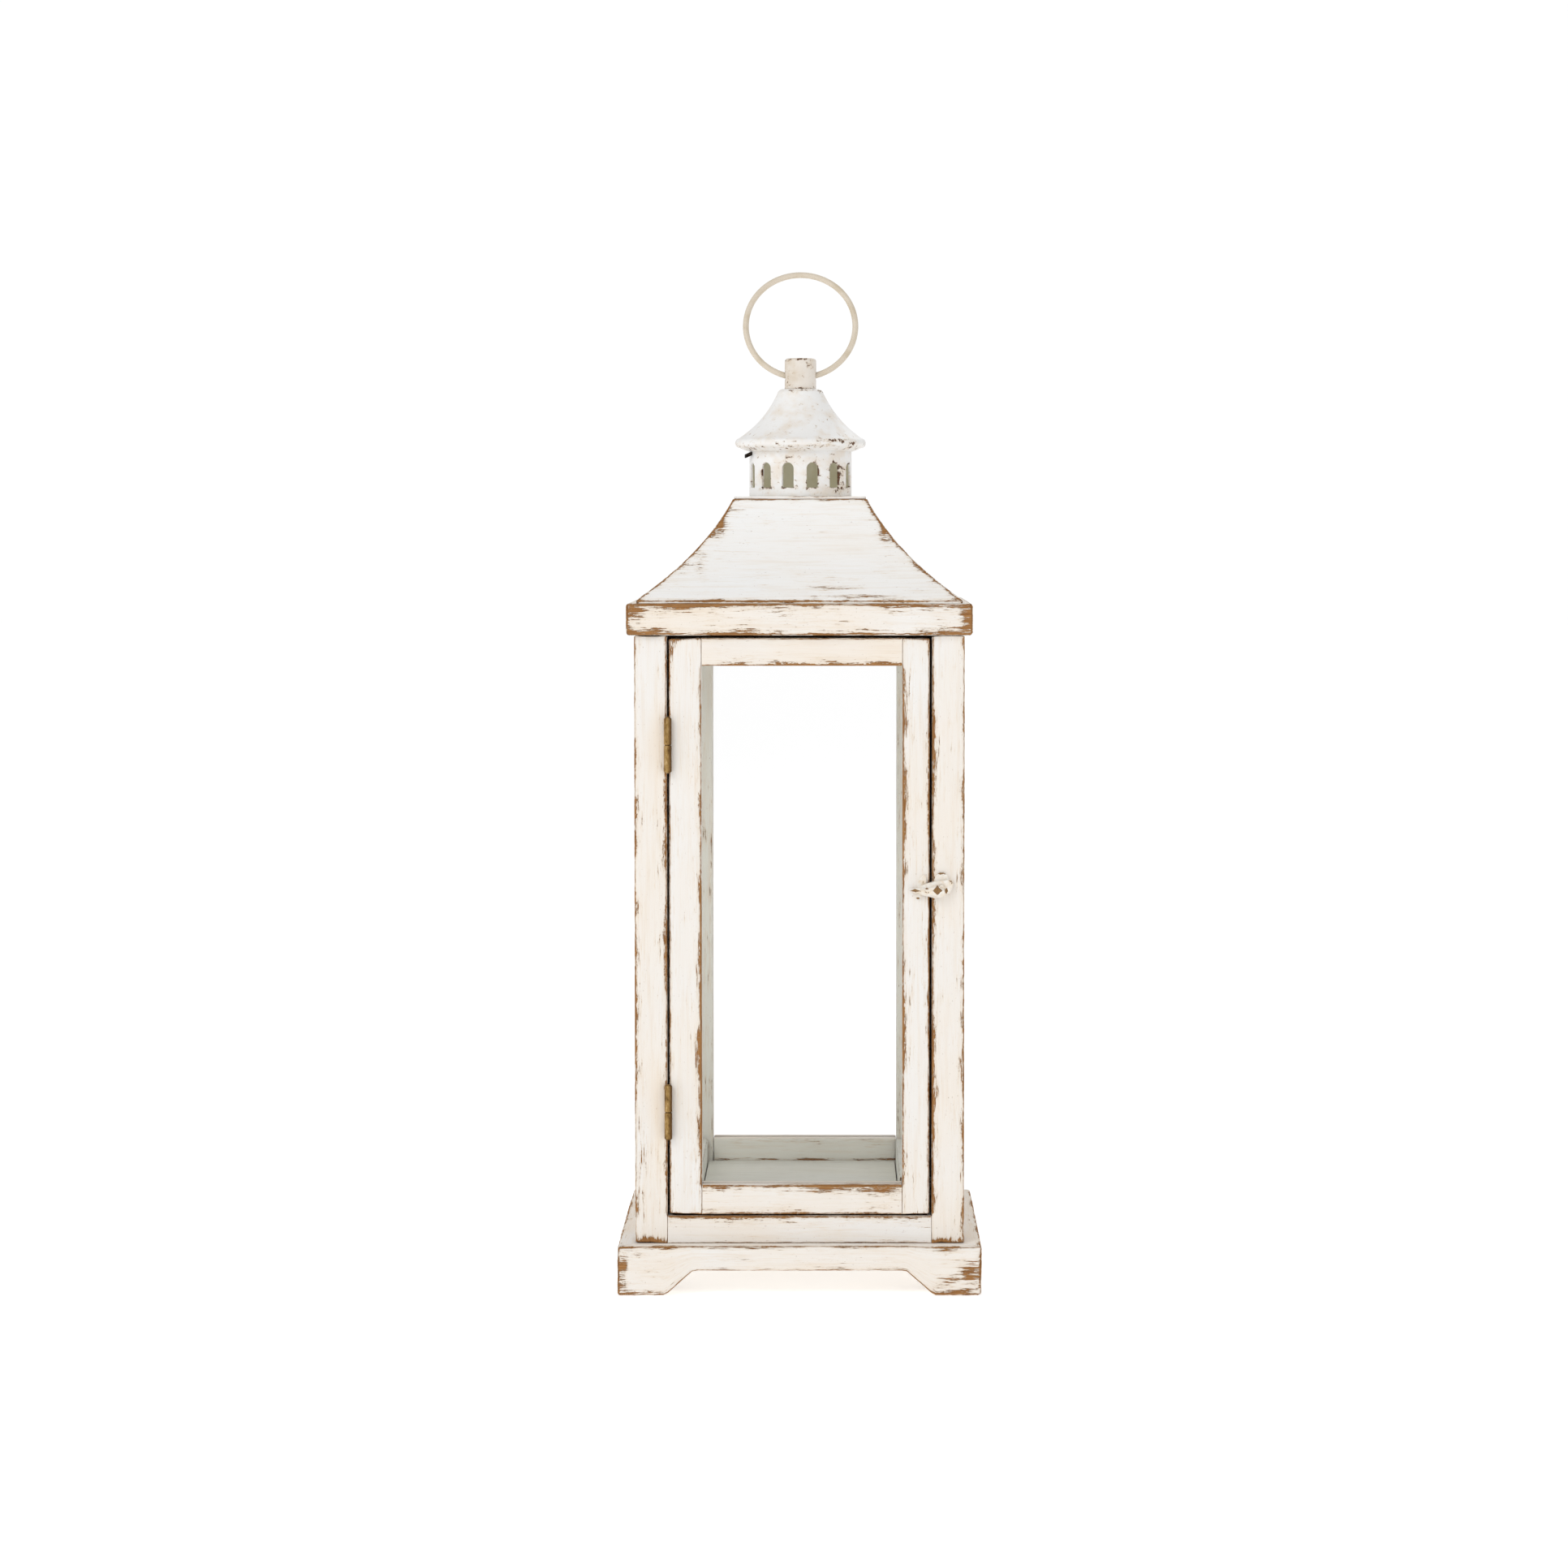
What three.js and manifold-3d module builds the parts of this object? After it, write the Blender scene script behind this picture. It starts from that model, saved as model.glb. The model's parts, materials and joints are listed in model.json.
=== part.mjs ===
// Candle lantern: a glazed wooden case on a footed plinth, under a hollow concave
// roof with a slotted vent collar, a flared cap and a carrying ring.
// Millimetres, +Z up, origin at the bottom centre of the plinth, door towards -Y.
import * as THREE from 'three';
import { ConvexGeometry } from 'three/addons/geometries/ConvexGeometry.js';
import { mergeVertices } from 'three/addons/utils/BufferGeometryUtils.js';
import Module from 'manifold-3d';

const wasm = await Module();
wasm.setup();

// ---------- driving dimensions ----------
const GAP = 0.3; // clearance between cut neighbours

const PLINTH = { half: 95, thick: 17, top: 26, apron: 13, footEnd: 70, archEnd: 55.5 };
const INNER_BOARD_BOTTOM = 16;

const CASE_HALF = 86; // outer faces of the posts
const POST = 17;
const POST_INNER = CASE_HALF - POST;
const CASE_TOP = 344;

const BOARD = 15; // thickness of rails, stiles and door
const BOARD_BACK = CASE_HALF - BOARD;
const FRONT_RAIL_TOP = 40.3;
const FLOOR_TOP = 46;
const FLOOR_FRONT = 70;
const CLEAT = { inner: 52.5, top: 58.3 };
const FLOOR_HALF = CLEAT.inner - GAP;
const BATTEN_INNER = 44; // the battens carry both the floor board and the cleats
// A frame cut from thin board, behind the shut door's stiles and its top rail.
const DOOR_STOP = { inner: 64.5, back: 65, bottom: 339.5 };

// Fixed glazed panels, seen from outside: opening edges to the left and right.
const PANEL = { bottomRailTop: 58.3, topRailBottom: 328 };
const SIDE_OPENING = { left: -52, right: 52 };
const BACK_OPENING = { left: -53, right: 49.4 };

const DOOR = {
  left: -67.8, right: 67.7, bottom: 41.3, top: 342.5,
  openingLeft: -51, openingRight: 53.6, openingBottom: 56.6, openingTop: 328.1,
};

const GLASS = 2;
const GROOVE = { width: GLASS + 2 * GAP, depth: 4, edgePlay: 0.4 };
const GLASS_MID = CASE_HALF - BOARD / 2;

const HINGE = {
  x: -68.4, y: -88.3, knuckle: 2, bore: 0.9, pin: 0.8, leaf: 0.45, leafDepth: 10,
  bottoms: [81.1, 272.9], length: 28.2, head: 1.5, headThick: 0.5, play: 0.1,
};

const LATCH = { x: 74, z: 213, pin: 1.5, hole: 1.6, holeDepth: 8, plate: 1.4, keeper: 1.2 };
const LEVER_BACK = -CASE_HALF - LATCH.plate - 0.2;

const CORNICE = { half: 90, width: 24, bottom: CASE_TOP, top: 360.5 };

// Roof panel outline: half-width at each height, with a short upright lip.
const ROOF = {
  thick: 3, lipHalf: 84.8, lipTop: 362.4, waistHalf: 51.3, waistZ: 385.5,
  topHalf: 35.6, top: 414.8, steps: 16,
};
const TOP_PLATE = { half: 35, hole: 25, top: 416.3 };

const COLLAR = { outer: 27.5, inner: 26.5, top: 440.5, facets: 84 };
const SLOT = { count: 13, width: 6.3, bottom: 421, top: 434.3 };

const CAP = {
  rimCentre: 32.5, rimZ: 445, rimRadius: 2.6, seatInner: 24.5, seatOuter: 28,
  waistRadius: 19.5, waistZ: 456.8, shoulderRadius: 12.5, shoulderZ: 471.4,
  topRadius: 10.3, top: 474, wall: 1.2, facets: 48,
};
const NECK = { radius: 8.45, top: 490.5, round: 1.8, facets: 40 };
const RING = { wire: 1.6, radius: 29.6, pivotZ: 480.8, centre: 29, lean: 19, hole: 2.5 };
const TAB = { start: 27.6, end: 31, top: 440.3, drop: 1.5, thick: 1.9, width: 2.6, turn: 18 };

const OVERCUT = 5; // how far cutting tools run past a face
const rad = THREE.MathUtils.degToRad;

// ---------- materials ----------
function finish(color, roughness, metalness = 0, opacity = 1) {
  return () => new THREE.MeshStandardMaterial({
    color, roughness, metalness, opacity, transparent: opacity < 1,
  });
}
const whitePaint = finish(0xf2ece2, 0.75);
const roofPaint = finish(0xeff0ee, 0.7);
const innerPaint = finish(0xb8b9ae, 0.7);
const metalPaint = finish(0xece8e0, 0.45, 0.2);
const ringPaint = finish(0xe3d9c8, 0.45, 0.3);
const brass = finish(0x8f7148, 0.4, 1);
const darkSteel = finish(0x2e261f, 0.5, 0.9);
const clearGlass = finish(0xf4f8f6, 0.05, 0, 0.2);

// ---------- helpers ----------
const lantern = new THREE.Group();

function add(name, geometry, material) {
  const mesh = new THREE.Mesh(geometry, material());
  mesh.name = name;
  lantern.add(mesh);
  return mesh;
}

// A box between two opposite corners.
function block(x0, x1, y0, y1, z0, z1) {
  const geometry = new THREE.BoxGeometry(x1 - x0, y1 - y0, z1 - z0);
  return geometry.translate((x0 + x1) / 2, (y0 + y1) / 2, (z0 + z1) / 2);
}

// Exact quarter turns about Z, so that faces that meet stay in one plane.
const QUARTERS = [[1, 0, 0, 1], [0, -1, 1, 0], [-1, 0, 0, -1], [0, 1, -1, 0]];
function turned(geometry, side) {
  const [a, b, c, d] = QUARTERS[side];
  return geometry.applyMatrix4(new THREE.Matrix4().set(
    a, b, 0, 0,
    c, d, 0, 0,
    0, 0, 1, 0,
    0, 0, 0, 1,
  ));
}
const SIDE_NAMES = ['front', 'right', 'back', 'left'];

function shapeOf(points) {
  return new THREE.Shape(points.map(([x, y]) => new THREE.Vector2(x, y)));
}

function extruded(shape, depth) {
  return new THREE.ExtrudeGeometry(shape, { depth, bevelEnabled: false, curveSegments: 8 });
}

// A section in (x, y) extruded upwards from z0 to z1.
function upright(points, z0, z1) {
  return extruded(shapeOf(points), z1 - z0).translate(0, 0, z0);
}

// A section in (y, z) extruded along x from x0 to x1.
function lengthways(points, x0, x1) {
  const geometry = extruded(shapeOf(points), x1 - x0);
  return geometry.applyMatrix4(new THREE.Matrix4().set(
    0, 0, 1, x0,
    1, 0, 0, 0,
    0, 1, 0, 0,
    0, 0, 0, 1,
  ));
}

// An outline in (x, z) extruded towards -Y, from y = back to y = front.
function facing(shape, back, front) {
  const geometry = extruded(shape, back - front);
  return geometry.applyMatrix4(new THREE.Matrix4().set(
    1, 0, 0, 0,
    0, 0, -1, back,
    0, 1, 0, 0,
    0, 0, 0, 1,
  ));
}

// Cuts both ends of a front-side piece to 45 degrees: an end point at y goes to x = -y or y.
function mitred(geometry, isEnd = () => true) {
  const position = geometry.attributes.position;
  const play = GAP / Math.SQRT2;
  for (let i = 0; i < position.count; i++) {
    const x = position.getX(i);
    if (isEnd(x)) position.setX(i, Math.sign(x) * (Math.abs(position.getY(i)) - play));
  }
  return geometry;
}

function lathe(points, facets) {
  const profile = points.map(([r, z]) => new THREE.Vector2(r, z));
  return new THREE.LatheGeometry(profile, facets).rotateX(Math.PI / 2);
}

function solid(geometry) {
  const bare = geometry.clone();
  bare.deleteAttribute('normal');
  bare.deleteAttribute('uv');
  const merged = mergeVertices(bare, 1e-4);
  return new wasm.Manifold(new wasm.Mesh({
    numProp: 3,
    vertProperties: new Float32Array(merged.attributes.position.array),
    triVerts: new Uint32Array(merged.index.array),
  }));
}

function geometryOf(manifold) {
  const mesh = manifold.getMesh();
  const geometry = new THREE.BufferGeometry();
  const corners = new Float32Array(mesh.vertProperties);
  geometry.setAttribute('position', new THREE.BufferAttribute(corners, 3));
  geometry.setIndex(new THREE.BufferAttribute(new Uint32Array(mesh.triVerts), 1));
  geometry.computeVertexNormals();
  return geometry;
}

function rod(radius, z0, z1, facets = 24) {
  const geometry = new THREE.CylinderGeometry(radius, radius, z1 - z0, facets);
  return geometry.rotateX(Math.PI / 2).translate(0, 0, (z0 + z1) / 2);
}

// ---------- plinth ----------
function plinth() {
  const { half, thick, top, apron, footEnd, archEnd } = PLINTH;
  const outline = shapeOf([
    [-half, 0], [-footEnd, 0], [-archEnd, apron], [archEnd, apron],
    [footEnd, 0], [half, 0], [half, top], [-half, top],
  ]);
  SIDE_NAMES.forEach((name, side) => {
    const board = mitred(facing(outline, -(half - thick), -half), (x) => Math.abs(x) > footEnd + 1);
    add(`plinth_${name}`, turned(board, side), whitePaint);
  });
  const inner = half - thick - GAP;
  add('plinth_inner_board', block(-inner, inner, -inner, inner, INNER_BOARD_BOTTOM, top), whitePaint);
}

// ---------- case ----------
function posts() {
  for (const [name, sx, sy] of [
    ['front_left', -1, -1], ['front_right', 1, -1], ['back_left', -1, 1], ['back_right', 1, 1],
  ]) {
    const xs = [sx * POST_INNER, sx * CASE_HALF].sort((a, b) => a - b);
    const ys = [sy * POST_INNER, sy * CASE_HALF].sort((a, b) => a - b);
    let geometry = block(...xs, ...ys, PLINTH.top, CASE_TOP);
    if (name === 'front_right') {
      const hole = rod(LATCH.hole, -LATCH.holeDepth, OVERCUT);
      hole.rotateX(Math.PI / 2).translate(LATCH.x, -CASE_HALF, LATCH.z);
      geometry = geometryOf(solid(geometry).subtract(solid(hole)));
    }
    add(`post_${name}`, geometry, whitePaint);
  }
}

// Section of a stile: its inner edge, at x = edge, holds the pane in a groove.
function stileSection(outer, edge) {
  const inward = Math.sign(outer - edge);
  const groove = edge + inward * GROOVE.depth;
  const g0 = -GLASS_MID - GROOVE.width / 2;
  const g1 = -GLASS_MID + GROOVE.width / 2;
  const points = [
    [outer, -CASE_HALF], [edge, -CASE_HALF], [edge, g0], [groove, g0],
    [groove, g1], [edge, g1], [edge, -BOARD_BACK], [outer, -BOARD_BACK],
  ];
  return inward < 0 ? points : points.reverse();
}

// Section of a rail in (y, z): its inner edge, at z = edge, holds the pane.
function railSection(outer, edge) {
  return stileSection(outer, edge).map(([across, depth]) => [depth, across]);
}

function pane(left, right, bottom, top) {
  const reach = GROOVE.depth - GROOVE.edgePlay;
  return block(
    left - reach, right + reach,
    -GLASS_MID - GLASS / 2, -GLASS_MID + GLASS / 2,
    bottom - GROOVE.depth, top + reach,
  );
}

function fixedPanel(side, opening) {
  const name = SIDE_NAMES[side];
  const { bottomRailTop, topRailBottom } = PANEL;
  const piece = (part, geometry, material) => add(`${name}_${part}`, turned(geometry, side), material);
  piece('stile_a', upright(stileSection(-POST_INNER, opening.left), PLINTH.top, CASE_TOP), whitePaint);
  piece('stile_b', upright(stileSection(POST_INNER, opening.right), PLINTH.top, CASE_TOP), whitePaint);
  const rail = (outer, edge) => lengthways(railSection(outer, edge), opening.left, opening.right);
  piece('rail_bottom', rail(PLINTH.top, bottomRailTop), whitePaint);
  piece('rail_top', rail(CASE_TOP, topRailBottom), whitePaint);
  piece('pane', pane(opening.left, opening.right, bottomRailTop, topRailBottom), clearGlass);
}

function interior() {
  const rail = block(-POST_INNER, POST_INNER, -CASE_HALF, -BOARD_BACK, PLINTH.top, FRONT_RAIL_TOP);
  add('front_rail', rail, whitePaint);
  const battenEnd = POST_INNER - 2;
  for (const [name, sx] of [['left', -1], ['right', 1]]) {
    const batten = [sx * BATTEN_INNER, sx * POST_INNER].sort((a, b) => a - b);
    const cleat = [sx * CLEAT.inner, sx * POST_INNER].sort((a, b) => a - b);
    const under = block(...batten, -battenEnd, battenEnd, PLINTH.top, FRONT_RAIL_TOP);
    const over = block(...cleat, -FLOOR_FRONT, POST_INNER, FRONT_RAIL_TOP, CLEAT.top);
    add(`floor_batten_${name}`, under, innerPaint);
    add(`floor_cleat_${name}`, over, innerPaint);
  }
  const floor = block(-FLOOR_HALF, FLOOR_HALF, -FLOOR_FRONT, POST_INNER, FRONT_RAIL_TOP, FLOOR_TOP);
  add('floor_board', floor, innerPaint);
}

function doorStop() {
  const { inner, back, bottom } = DOOR_STOP;
  const outline = shapeOf([
    [-BOARD_BACK, CLEAT.top], [-inner, CLEAT.top], [-inner, bottom], [inner, bottom],
    [inner, CLEAT.top], [BOARD_BACK, CLEAT.top], [BOARD_BACK, CASE_TOP], [-BOARD_BACK, CASE_TOP],
  ]);
  add('door_stop', facing(outline, -back, -POST_INNER), innerPaint);
}

// ---------- door ----------
function door() {
  const d = DOOR;
  add('door_stile_hinge', upright(stileSection(d.left, d.openingLeft), d.bottom, d.top), whitePaint);
  add('door_stile_latch', upright(stileSection(d.right, d.openingRight), d.bottom, d.top), whitePaint);
  const rail = (outer, edge) => lengthways(railSection(outer, edge), d.openingLeft, d.openingRight);
  add('door_rail_bottom', rail(d.bottom, d.openingBottom), whitePaint);
  add('door_rail_top', rail(d.top, d.openingTop), whitePaint);
  add('door_pane', pane(d.openingLeft, d.openingRight, d.openingBottom, d.openingTop), clearGlass);
}

// ---------- hinges ----------
// One leaf lies against the post, the other against the door; each carries one knuckle.
function hinges() {
  const h = HINGE;
  const middle = h.length / 2;
  const halves = [
    ['post_leaf', 0, middle - h.play, -POST_INNER],
    ['door_leaf', middle + h.play, h.length, DOOR.left - h.leaf],
  ];
  ['lower', 'upper'].forEach((level, i) => {
    const bottom = h.bottoms[i];
    for (const [part, z0, z1, leafX] of halves) {
      const barrel = solid(rod(h.knuckle, bottom + z0, bottom + z1).translate(h.x, h.y, 0));
      const bore = solid(rod(h.bore, bottom - OVERCUT, bottom + h.length + OVERCUT).translate(h.x, h.y, 0));
      const near = solid(block(leafX, leafX + h.leaf, h.y + 1.1, -CASE_HALF, bottom + z0, bottom + z1));
      const leaf = solid(block(
        leafX, leafX + h.leaf, -CASE_HALF - 0.1, -CASE_HALF + h.leafDepth, bottom, bottom + h.length,
      ));
      add(`hinge_${level}_${part}`, geometryOf(barrel.add(near).add(leaf).subtract(bore)), brass);
    }
    const end = h.length + h.play;
    const pin = lathe([
      [0, -h.play - h.headThick], [h.head, -h.play - h.headThick], [h.head, -h.play], [h.pin, -h.play],
      [h.pin, end], [h.head, end], [h.head, end + h.headThick], [0, end + h.headThick],
    ], 24);
    add(`hinge_${level}_pin`, pin.translate(h.x, h.y, bottom), brass);
  });
}

// ---------- turn button ----------
function ellipsePlate(x, z, halfWidth, halfHeight, tilt, front) {
  const shape = new THREE.Shape();
  shape.absellipse(x, z, halfWidth, halfHeight, 0, Math.PI * 2, false, rad(tilt));
  const geometry = new THREE.ExtrudeGeometry(shape, {
    depth: -CASE_HALF - front, bevelEnabled: false, curveSegments: 14,
  });
  return geometry.applyMatrix4(new THREE.Matrix4().set(
    1, 0, 0, 0,
    0, 0, -1, -CASE_HALF,
    0, 1, 0, 0,
    0, 0, 0, 1,
  ));
}

// A hull of points given as [x, forward, z], forward measured from the lever's back.
function hull(points) {
  return new ConvexGeometry(points.map(([x, c, z]) => new THREE.Vector3(x, LEVER_BACK - c, z)));
}

function latch() {
  const hole = (depth) => {
    const tool = rod(LATCH.hole, -OVERCUT, depth).rotateX(Math.PI / 2);
    return solid(tool.translate(LATCH.x, LEVER_BACK, LATCH.z));
  };
  const plate = ellipsePlate(LATCH.x, LATCH.z + 1.3, 4.2, 6.2, 0, -CASE_HALF - LATCH.plate);
  add('latch_rosette', geometryOf(solid(plate).subtract(hole(OVERCUT))), metalPaint);

  const keeper = ellipsePlate(63.2, 212.9, 2.2, 6.6, -16, -CASE_HALF - LATCH.keeper);
  add('latch_keeper', keeper, metalPaint);

  const pinTip = LEVER_BACK - 3.4;
  const pin = rod(LATCH.pin, 0, -CASE_HALF + LATCH.holeDepth - GAP - pinTip).rotateX(-Math.PI / 2);
  add('latch_pin', pin.translate(LATCH.x, pinTip, LATCH.z), darkSteel);

  // A flat wing behind, and a faceted drop-shaped grip in front of it.
  const wing = hull([
    [61.8, 0, 213.1], [61.8, 1.2, 213.4], [66, 0, 214.9], [70, 0, 216.1], [79, 0, 217.2],
    [66, 1.6, 214.7], [70, 2.2, 215.8], [78.6, 2.2, 216.8], [80.3, 0, 215], [79.9, 2.2, 214.8],
    [79.6, 0, 212.2], [78, 0, 209.6], [77.6, 2.2, 209.9], [68, 0, 208.5], [68, 2.2, 208.7],
    [62, 0, 210.9], [62.2, 1.2, 211.1],
  ]);
  const grip = hull([
    [57.2, 0.6, 211], [57.4, 1.8, 211.6], [57.8, 0.6, 212.1], [58.2, 2.2, 210.9], [58.6, 0.6, 210.2],
    [64, 0.4, 213.2], [64.5, 0.4, 208.7], [70, 0.4, 213.8], [70, 0.4, 207.2], [73.6, 0.4, 207.6],
    [76, 0.4, 213.6], [77.4, 0.4, 211.7], [76.8, 0.4, 209.3],
    [63.5, 4.3, 211.4], [66, 3.2, 213], [66.5, 3.4, 208.9],
    [69, 5.9, 211.5], [71, 5.6, 213.2], [73.8, 6, 211.5], [71.6, 5.4, 208.8], [76, 3.4, 211.5],
  ]);
  const lever = solid(wing).add(solid(grip)).subtract(hole(3.6));
  add('latch_lever', geometryOf(lever), metalPaint);
}

// ---------- cornice and roof ----------
function cornice() {
  const { half, width, bottom, top } = CORNICE;
  const outline = shapeOf([[-half, bottom], [half, bottom], [half, top], [-half, top]]);
  SIDE_NAMES.forEach((name, side) => {
    const board = mitred(facing(outline, -(half - width), -half));
    add(`cornice_${name}`, turned(board, side), whitePaint);
  });
}

// Outer face of a roof panel and the same face set inwards by its thickness. The panel's
// foot is wider than its thickness, because the curve meets the cornice at a low angle.
const FOOT_THICK = 1.4 * ROOF.thick;
function roofSection() {
  const r = ROOF;
  const curve = new THREE.QuadraticBezierCurve(
    new THREE.Vector2(r.lipHalf, r.lipTop),
    new THREE.Vector2(r.waistHalf, r.waistZ),
    new THREE.Vector2(r.topHalf, r.top),
  );
  const outer = curve.getPoints(r.steps);
  const inner = outer.map((point, i) => {
    const tangent = curve.getTangent(i / r.steps);
    return new THREE.Vector2(point.x - tangent.y * r.thick, point.y + tangent.x * r.thick);
  });
  const base = CORNICE.top;
  const kept = inner.filter((point) => point.y > base + 1);
  kept[kept.length - 1].y = r.top;
  const foot = [r.lipHalf - FOOT_THICK, base];
  const section = [[r.lipHalf, base], ...outer.map((p) => [p.x, p.y])];
  for (const p of kept.reverse()) section.push([p.x, p.y]);
  section.push(foot);
  return section;
}

function roof() {
  const section = roofSection().map(([half, z]) => [-half, z]);
  SIDE_NAMES.forEach((name, side) => {
    const panel = mitred(lengthways(section.slice().reverse(), -1, 1));
    add(`roof_${name}`, turned(panel, side), roofPaint);
  });
  const { half, hole, top } = TOP_PLATE;
  const outline = shapeOf([[-half, -half], [half, -half], [half, half], [-half, half]]);
  outline.holes.push(new THREE.Path().absarc(0, 0, hole, 0, Math.PI * 2, true));
  const plate = new THREE.ExtrudeGeometry(outline, {
    depth: top - ROOF.top, bevelEnabled: false, curveSegments: 32,
  });
  add('roof_top_plate', plate.translate(0, 0, ROOF.top), roofPaint);
}

// ---------- chimney ----------
function ventCollar() {
  const { outer, inner, top, facets } = COLLAR;
  const wall = lathe([
    [inner, TOP_PLATE.top], [outer, TOP_PLATE.top], [outer, top], [inner, top], [inner, TOP_PLATE.top],
  ], facets);
  const { count, width, bottom } = SLOT;
  const spring = SLOT.top - width / 2;
  const arch = new THREE.Shape();
  arch.moveTo(-width / 2, bottom);
  arch.lineTo(width / 2, bottom);
  arch.lineTo(width / 2, spring);
  arch.absarc(0, spring, width / 2, 0, Math.PI, false);
  arch.closePath();
  let body = solid(wall);
  for (let i = 0; i < count; i++) {
    const cutter = facing(arch, -inner + OVERCUT, -outer - OVERCUT);
    cutter.rotateZ(((i + 0.5) * 2 * Math.PI) / count);
    body = body.subtract(solid(cutter));
  }
  add('vent_collar', geometryOf(body), metalPaint);
}

function chimneyCap() {
  const c = CAP;
  const rim = [];
  for (let angle = -90; angle <= 80; angle += 17) {
    rim.push([
      c.rimCentre + c.rimRadius * Math.cos(rad(angle)),
      c.rimZ + c.rimRadius * Math.sin(rad(angle)),
    ]);
  }
  const skirt = (inset) => new THREE.QuadraticBezierCurve(
    new THREE.Vector2(c.rimCentre - 0.2 - inset, c.rimZ + c.rimRadius - inset / 3),
    new THREE.Vector2(c.waistRadius - inset * 0.7, c.waistZ - inset * 0.7),
    new THREE.Vector2(c.shoulderRadius - inset, c.shoulderZ),
  ).getPoints(12).map((p) => [p.x, p.y]);
  const under = skirt(c.wall).filter(([r]) => r < c.seatInner - 0.5).reverse();
  add('chimney_cap', lathe([
    [c.seatInner, COLLAR.top], [c.seatOuter, COLLAR.top], ...rim, ...skirt(0),
    [c.topRadius, c.top], [0, c.top], [0, c.top - c.wall], [c.topRadius - c.wall, c.top - c.wall],
    ...under, [c.seatInner, under[under.length - 1][1] - 1], [c.seatInner, COLLAR.top],
  ], c.facets), metalPaint);
}

function neck() {
  const n = NECK;
  const edge = [];
  for (let angle = 0; angle <= 90; angle += 22.5) {
    edge.push([
      n.radius - n.round + n.round * Math.cos(rad(angle)),
      n.top - n.round + n.round * Math.sin(rad(angle)),
    ]);
  }
  const body = lathe([[0, CAP.top], [n.radius, CAP.top], ...edge, [0, n.top]], n.facets);
  const hole = rod(RING.hole, -n.radius - OVERCUT, n.radius + OVERCUT, 24).rotateY(Math.PI / 2);
  add('neck', geometryOf(solid(body).subtract(solid(hole.translate(0, 0, RING.pivotZ)))), metalPaint);
}

// The ring hangs in the neck's cross hole and leans back from upright.
function ring() {
  const geometry = new THREE.TorusGeometry(RING.radius, RING.wire, 10, 56);
  geometry.rotateX(Math.PI / 2).translate(0, 0, RING.centre);
  geometry.rotateX(-rad(RING.lean)).translate(0, 0, RING.pivotZ);
  add('carrying_ring', geometry, ringPaint);
}

// A bent lug of the collar, turned out under the cap's rim on the left.
function lockTab() {
  const t = TAB;
  const section = shapeOf([
    [-t.start, t.top], [-t.end, t.top - t.drop], [-t.end, t.top - t.drop - t.thick],
    [-t.start, t.top - t.thick],
  ]);
  add('cap_lock_tab', facing(section, t.width / 2, -t.width / 2).rotateZ(rad(t.turn)), darkSteel);
}

plinth();
posts();
interior();
doorStop();
fixedPanel(1, SIDE_OPENING);
fixedPanel(2, BACK_OPENING);
fixedPanel(3, SIDE_OPENING);
door();
hinges();
latch();
cornice();
roof();
ventCollar();
chimneyCap();
neck();
ring();
lockTab();

export default lantern;
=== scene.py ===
import json
import math

import bmesh
import bpy
import numpy as np
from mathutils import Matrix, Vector, noise


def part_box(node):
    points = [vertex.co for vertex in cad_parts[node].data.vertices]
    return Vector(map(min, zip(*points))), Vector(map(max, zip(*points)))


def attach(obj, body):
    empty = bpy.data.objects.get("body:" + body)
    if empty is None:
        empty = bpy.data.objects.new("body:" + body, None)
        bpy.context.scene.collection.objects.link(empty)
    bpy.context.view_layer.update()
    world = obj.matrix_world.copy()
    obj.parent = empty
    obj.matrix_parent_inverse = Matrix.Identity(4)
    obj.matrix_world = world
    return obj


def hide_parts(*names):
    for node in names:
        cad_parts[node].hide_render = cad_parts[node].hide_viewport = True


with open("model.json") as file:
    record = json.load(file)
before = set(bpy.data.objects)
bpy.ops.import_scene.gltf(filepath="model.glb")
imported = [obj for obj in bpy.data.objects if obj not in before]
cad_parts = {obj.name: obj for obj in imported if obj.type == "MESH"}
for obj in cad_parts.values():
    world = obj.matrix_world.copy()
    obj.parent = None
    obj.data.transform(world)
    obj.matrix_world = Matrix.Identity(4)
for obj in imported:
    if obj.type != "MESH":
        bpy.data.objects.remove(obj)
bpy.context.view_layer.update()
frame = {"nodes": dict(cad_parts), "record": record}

MM = 0.001
BODIES = frame["record"]["behaviour"]["bodies"]
BODY_OF = {node: body for body, nodes in BODIES.items() for node in nodes}
SLOT_OF = {row["node"]: row["material_slot"] for row in frame["record"]["subparts"]}
X, Y, Z = 0, 1, 2


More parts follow.
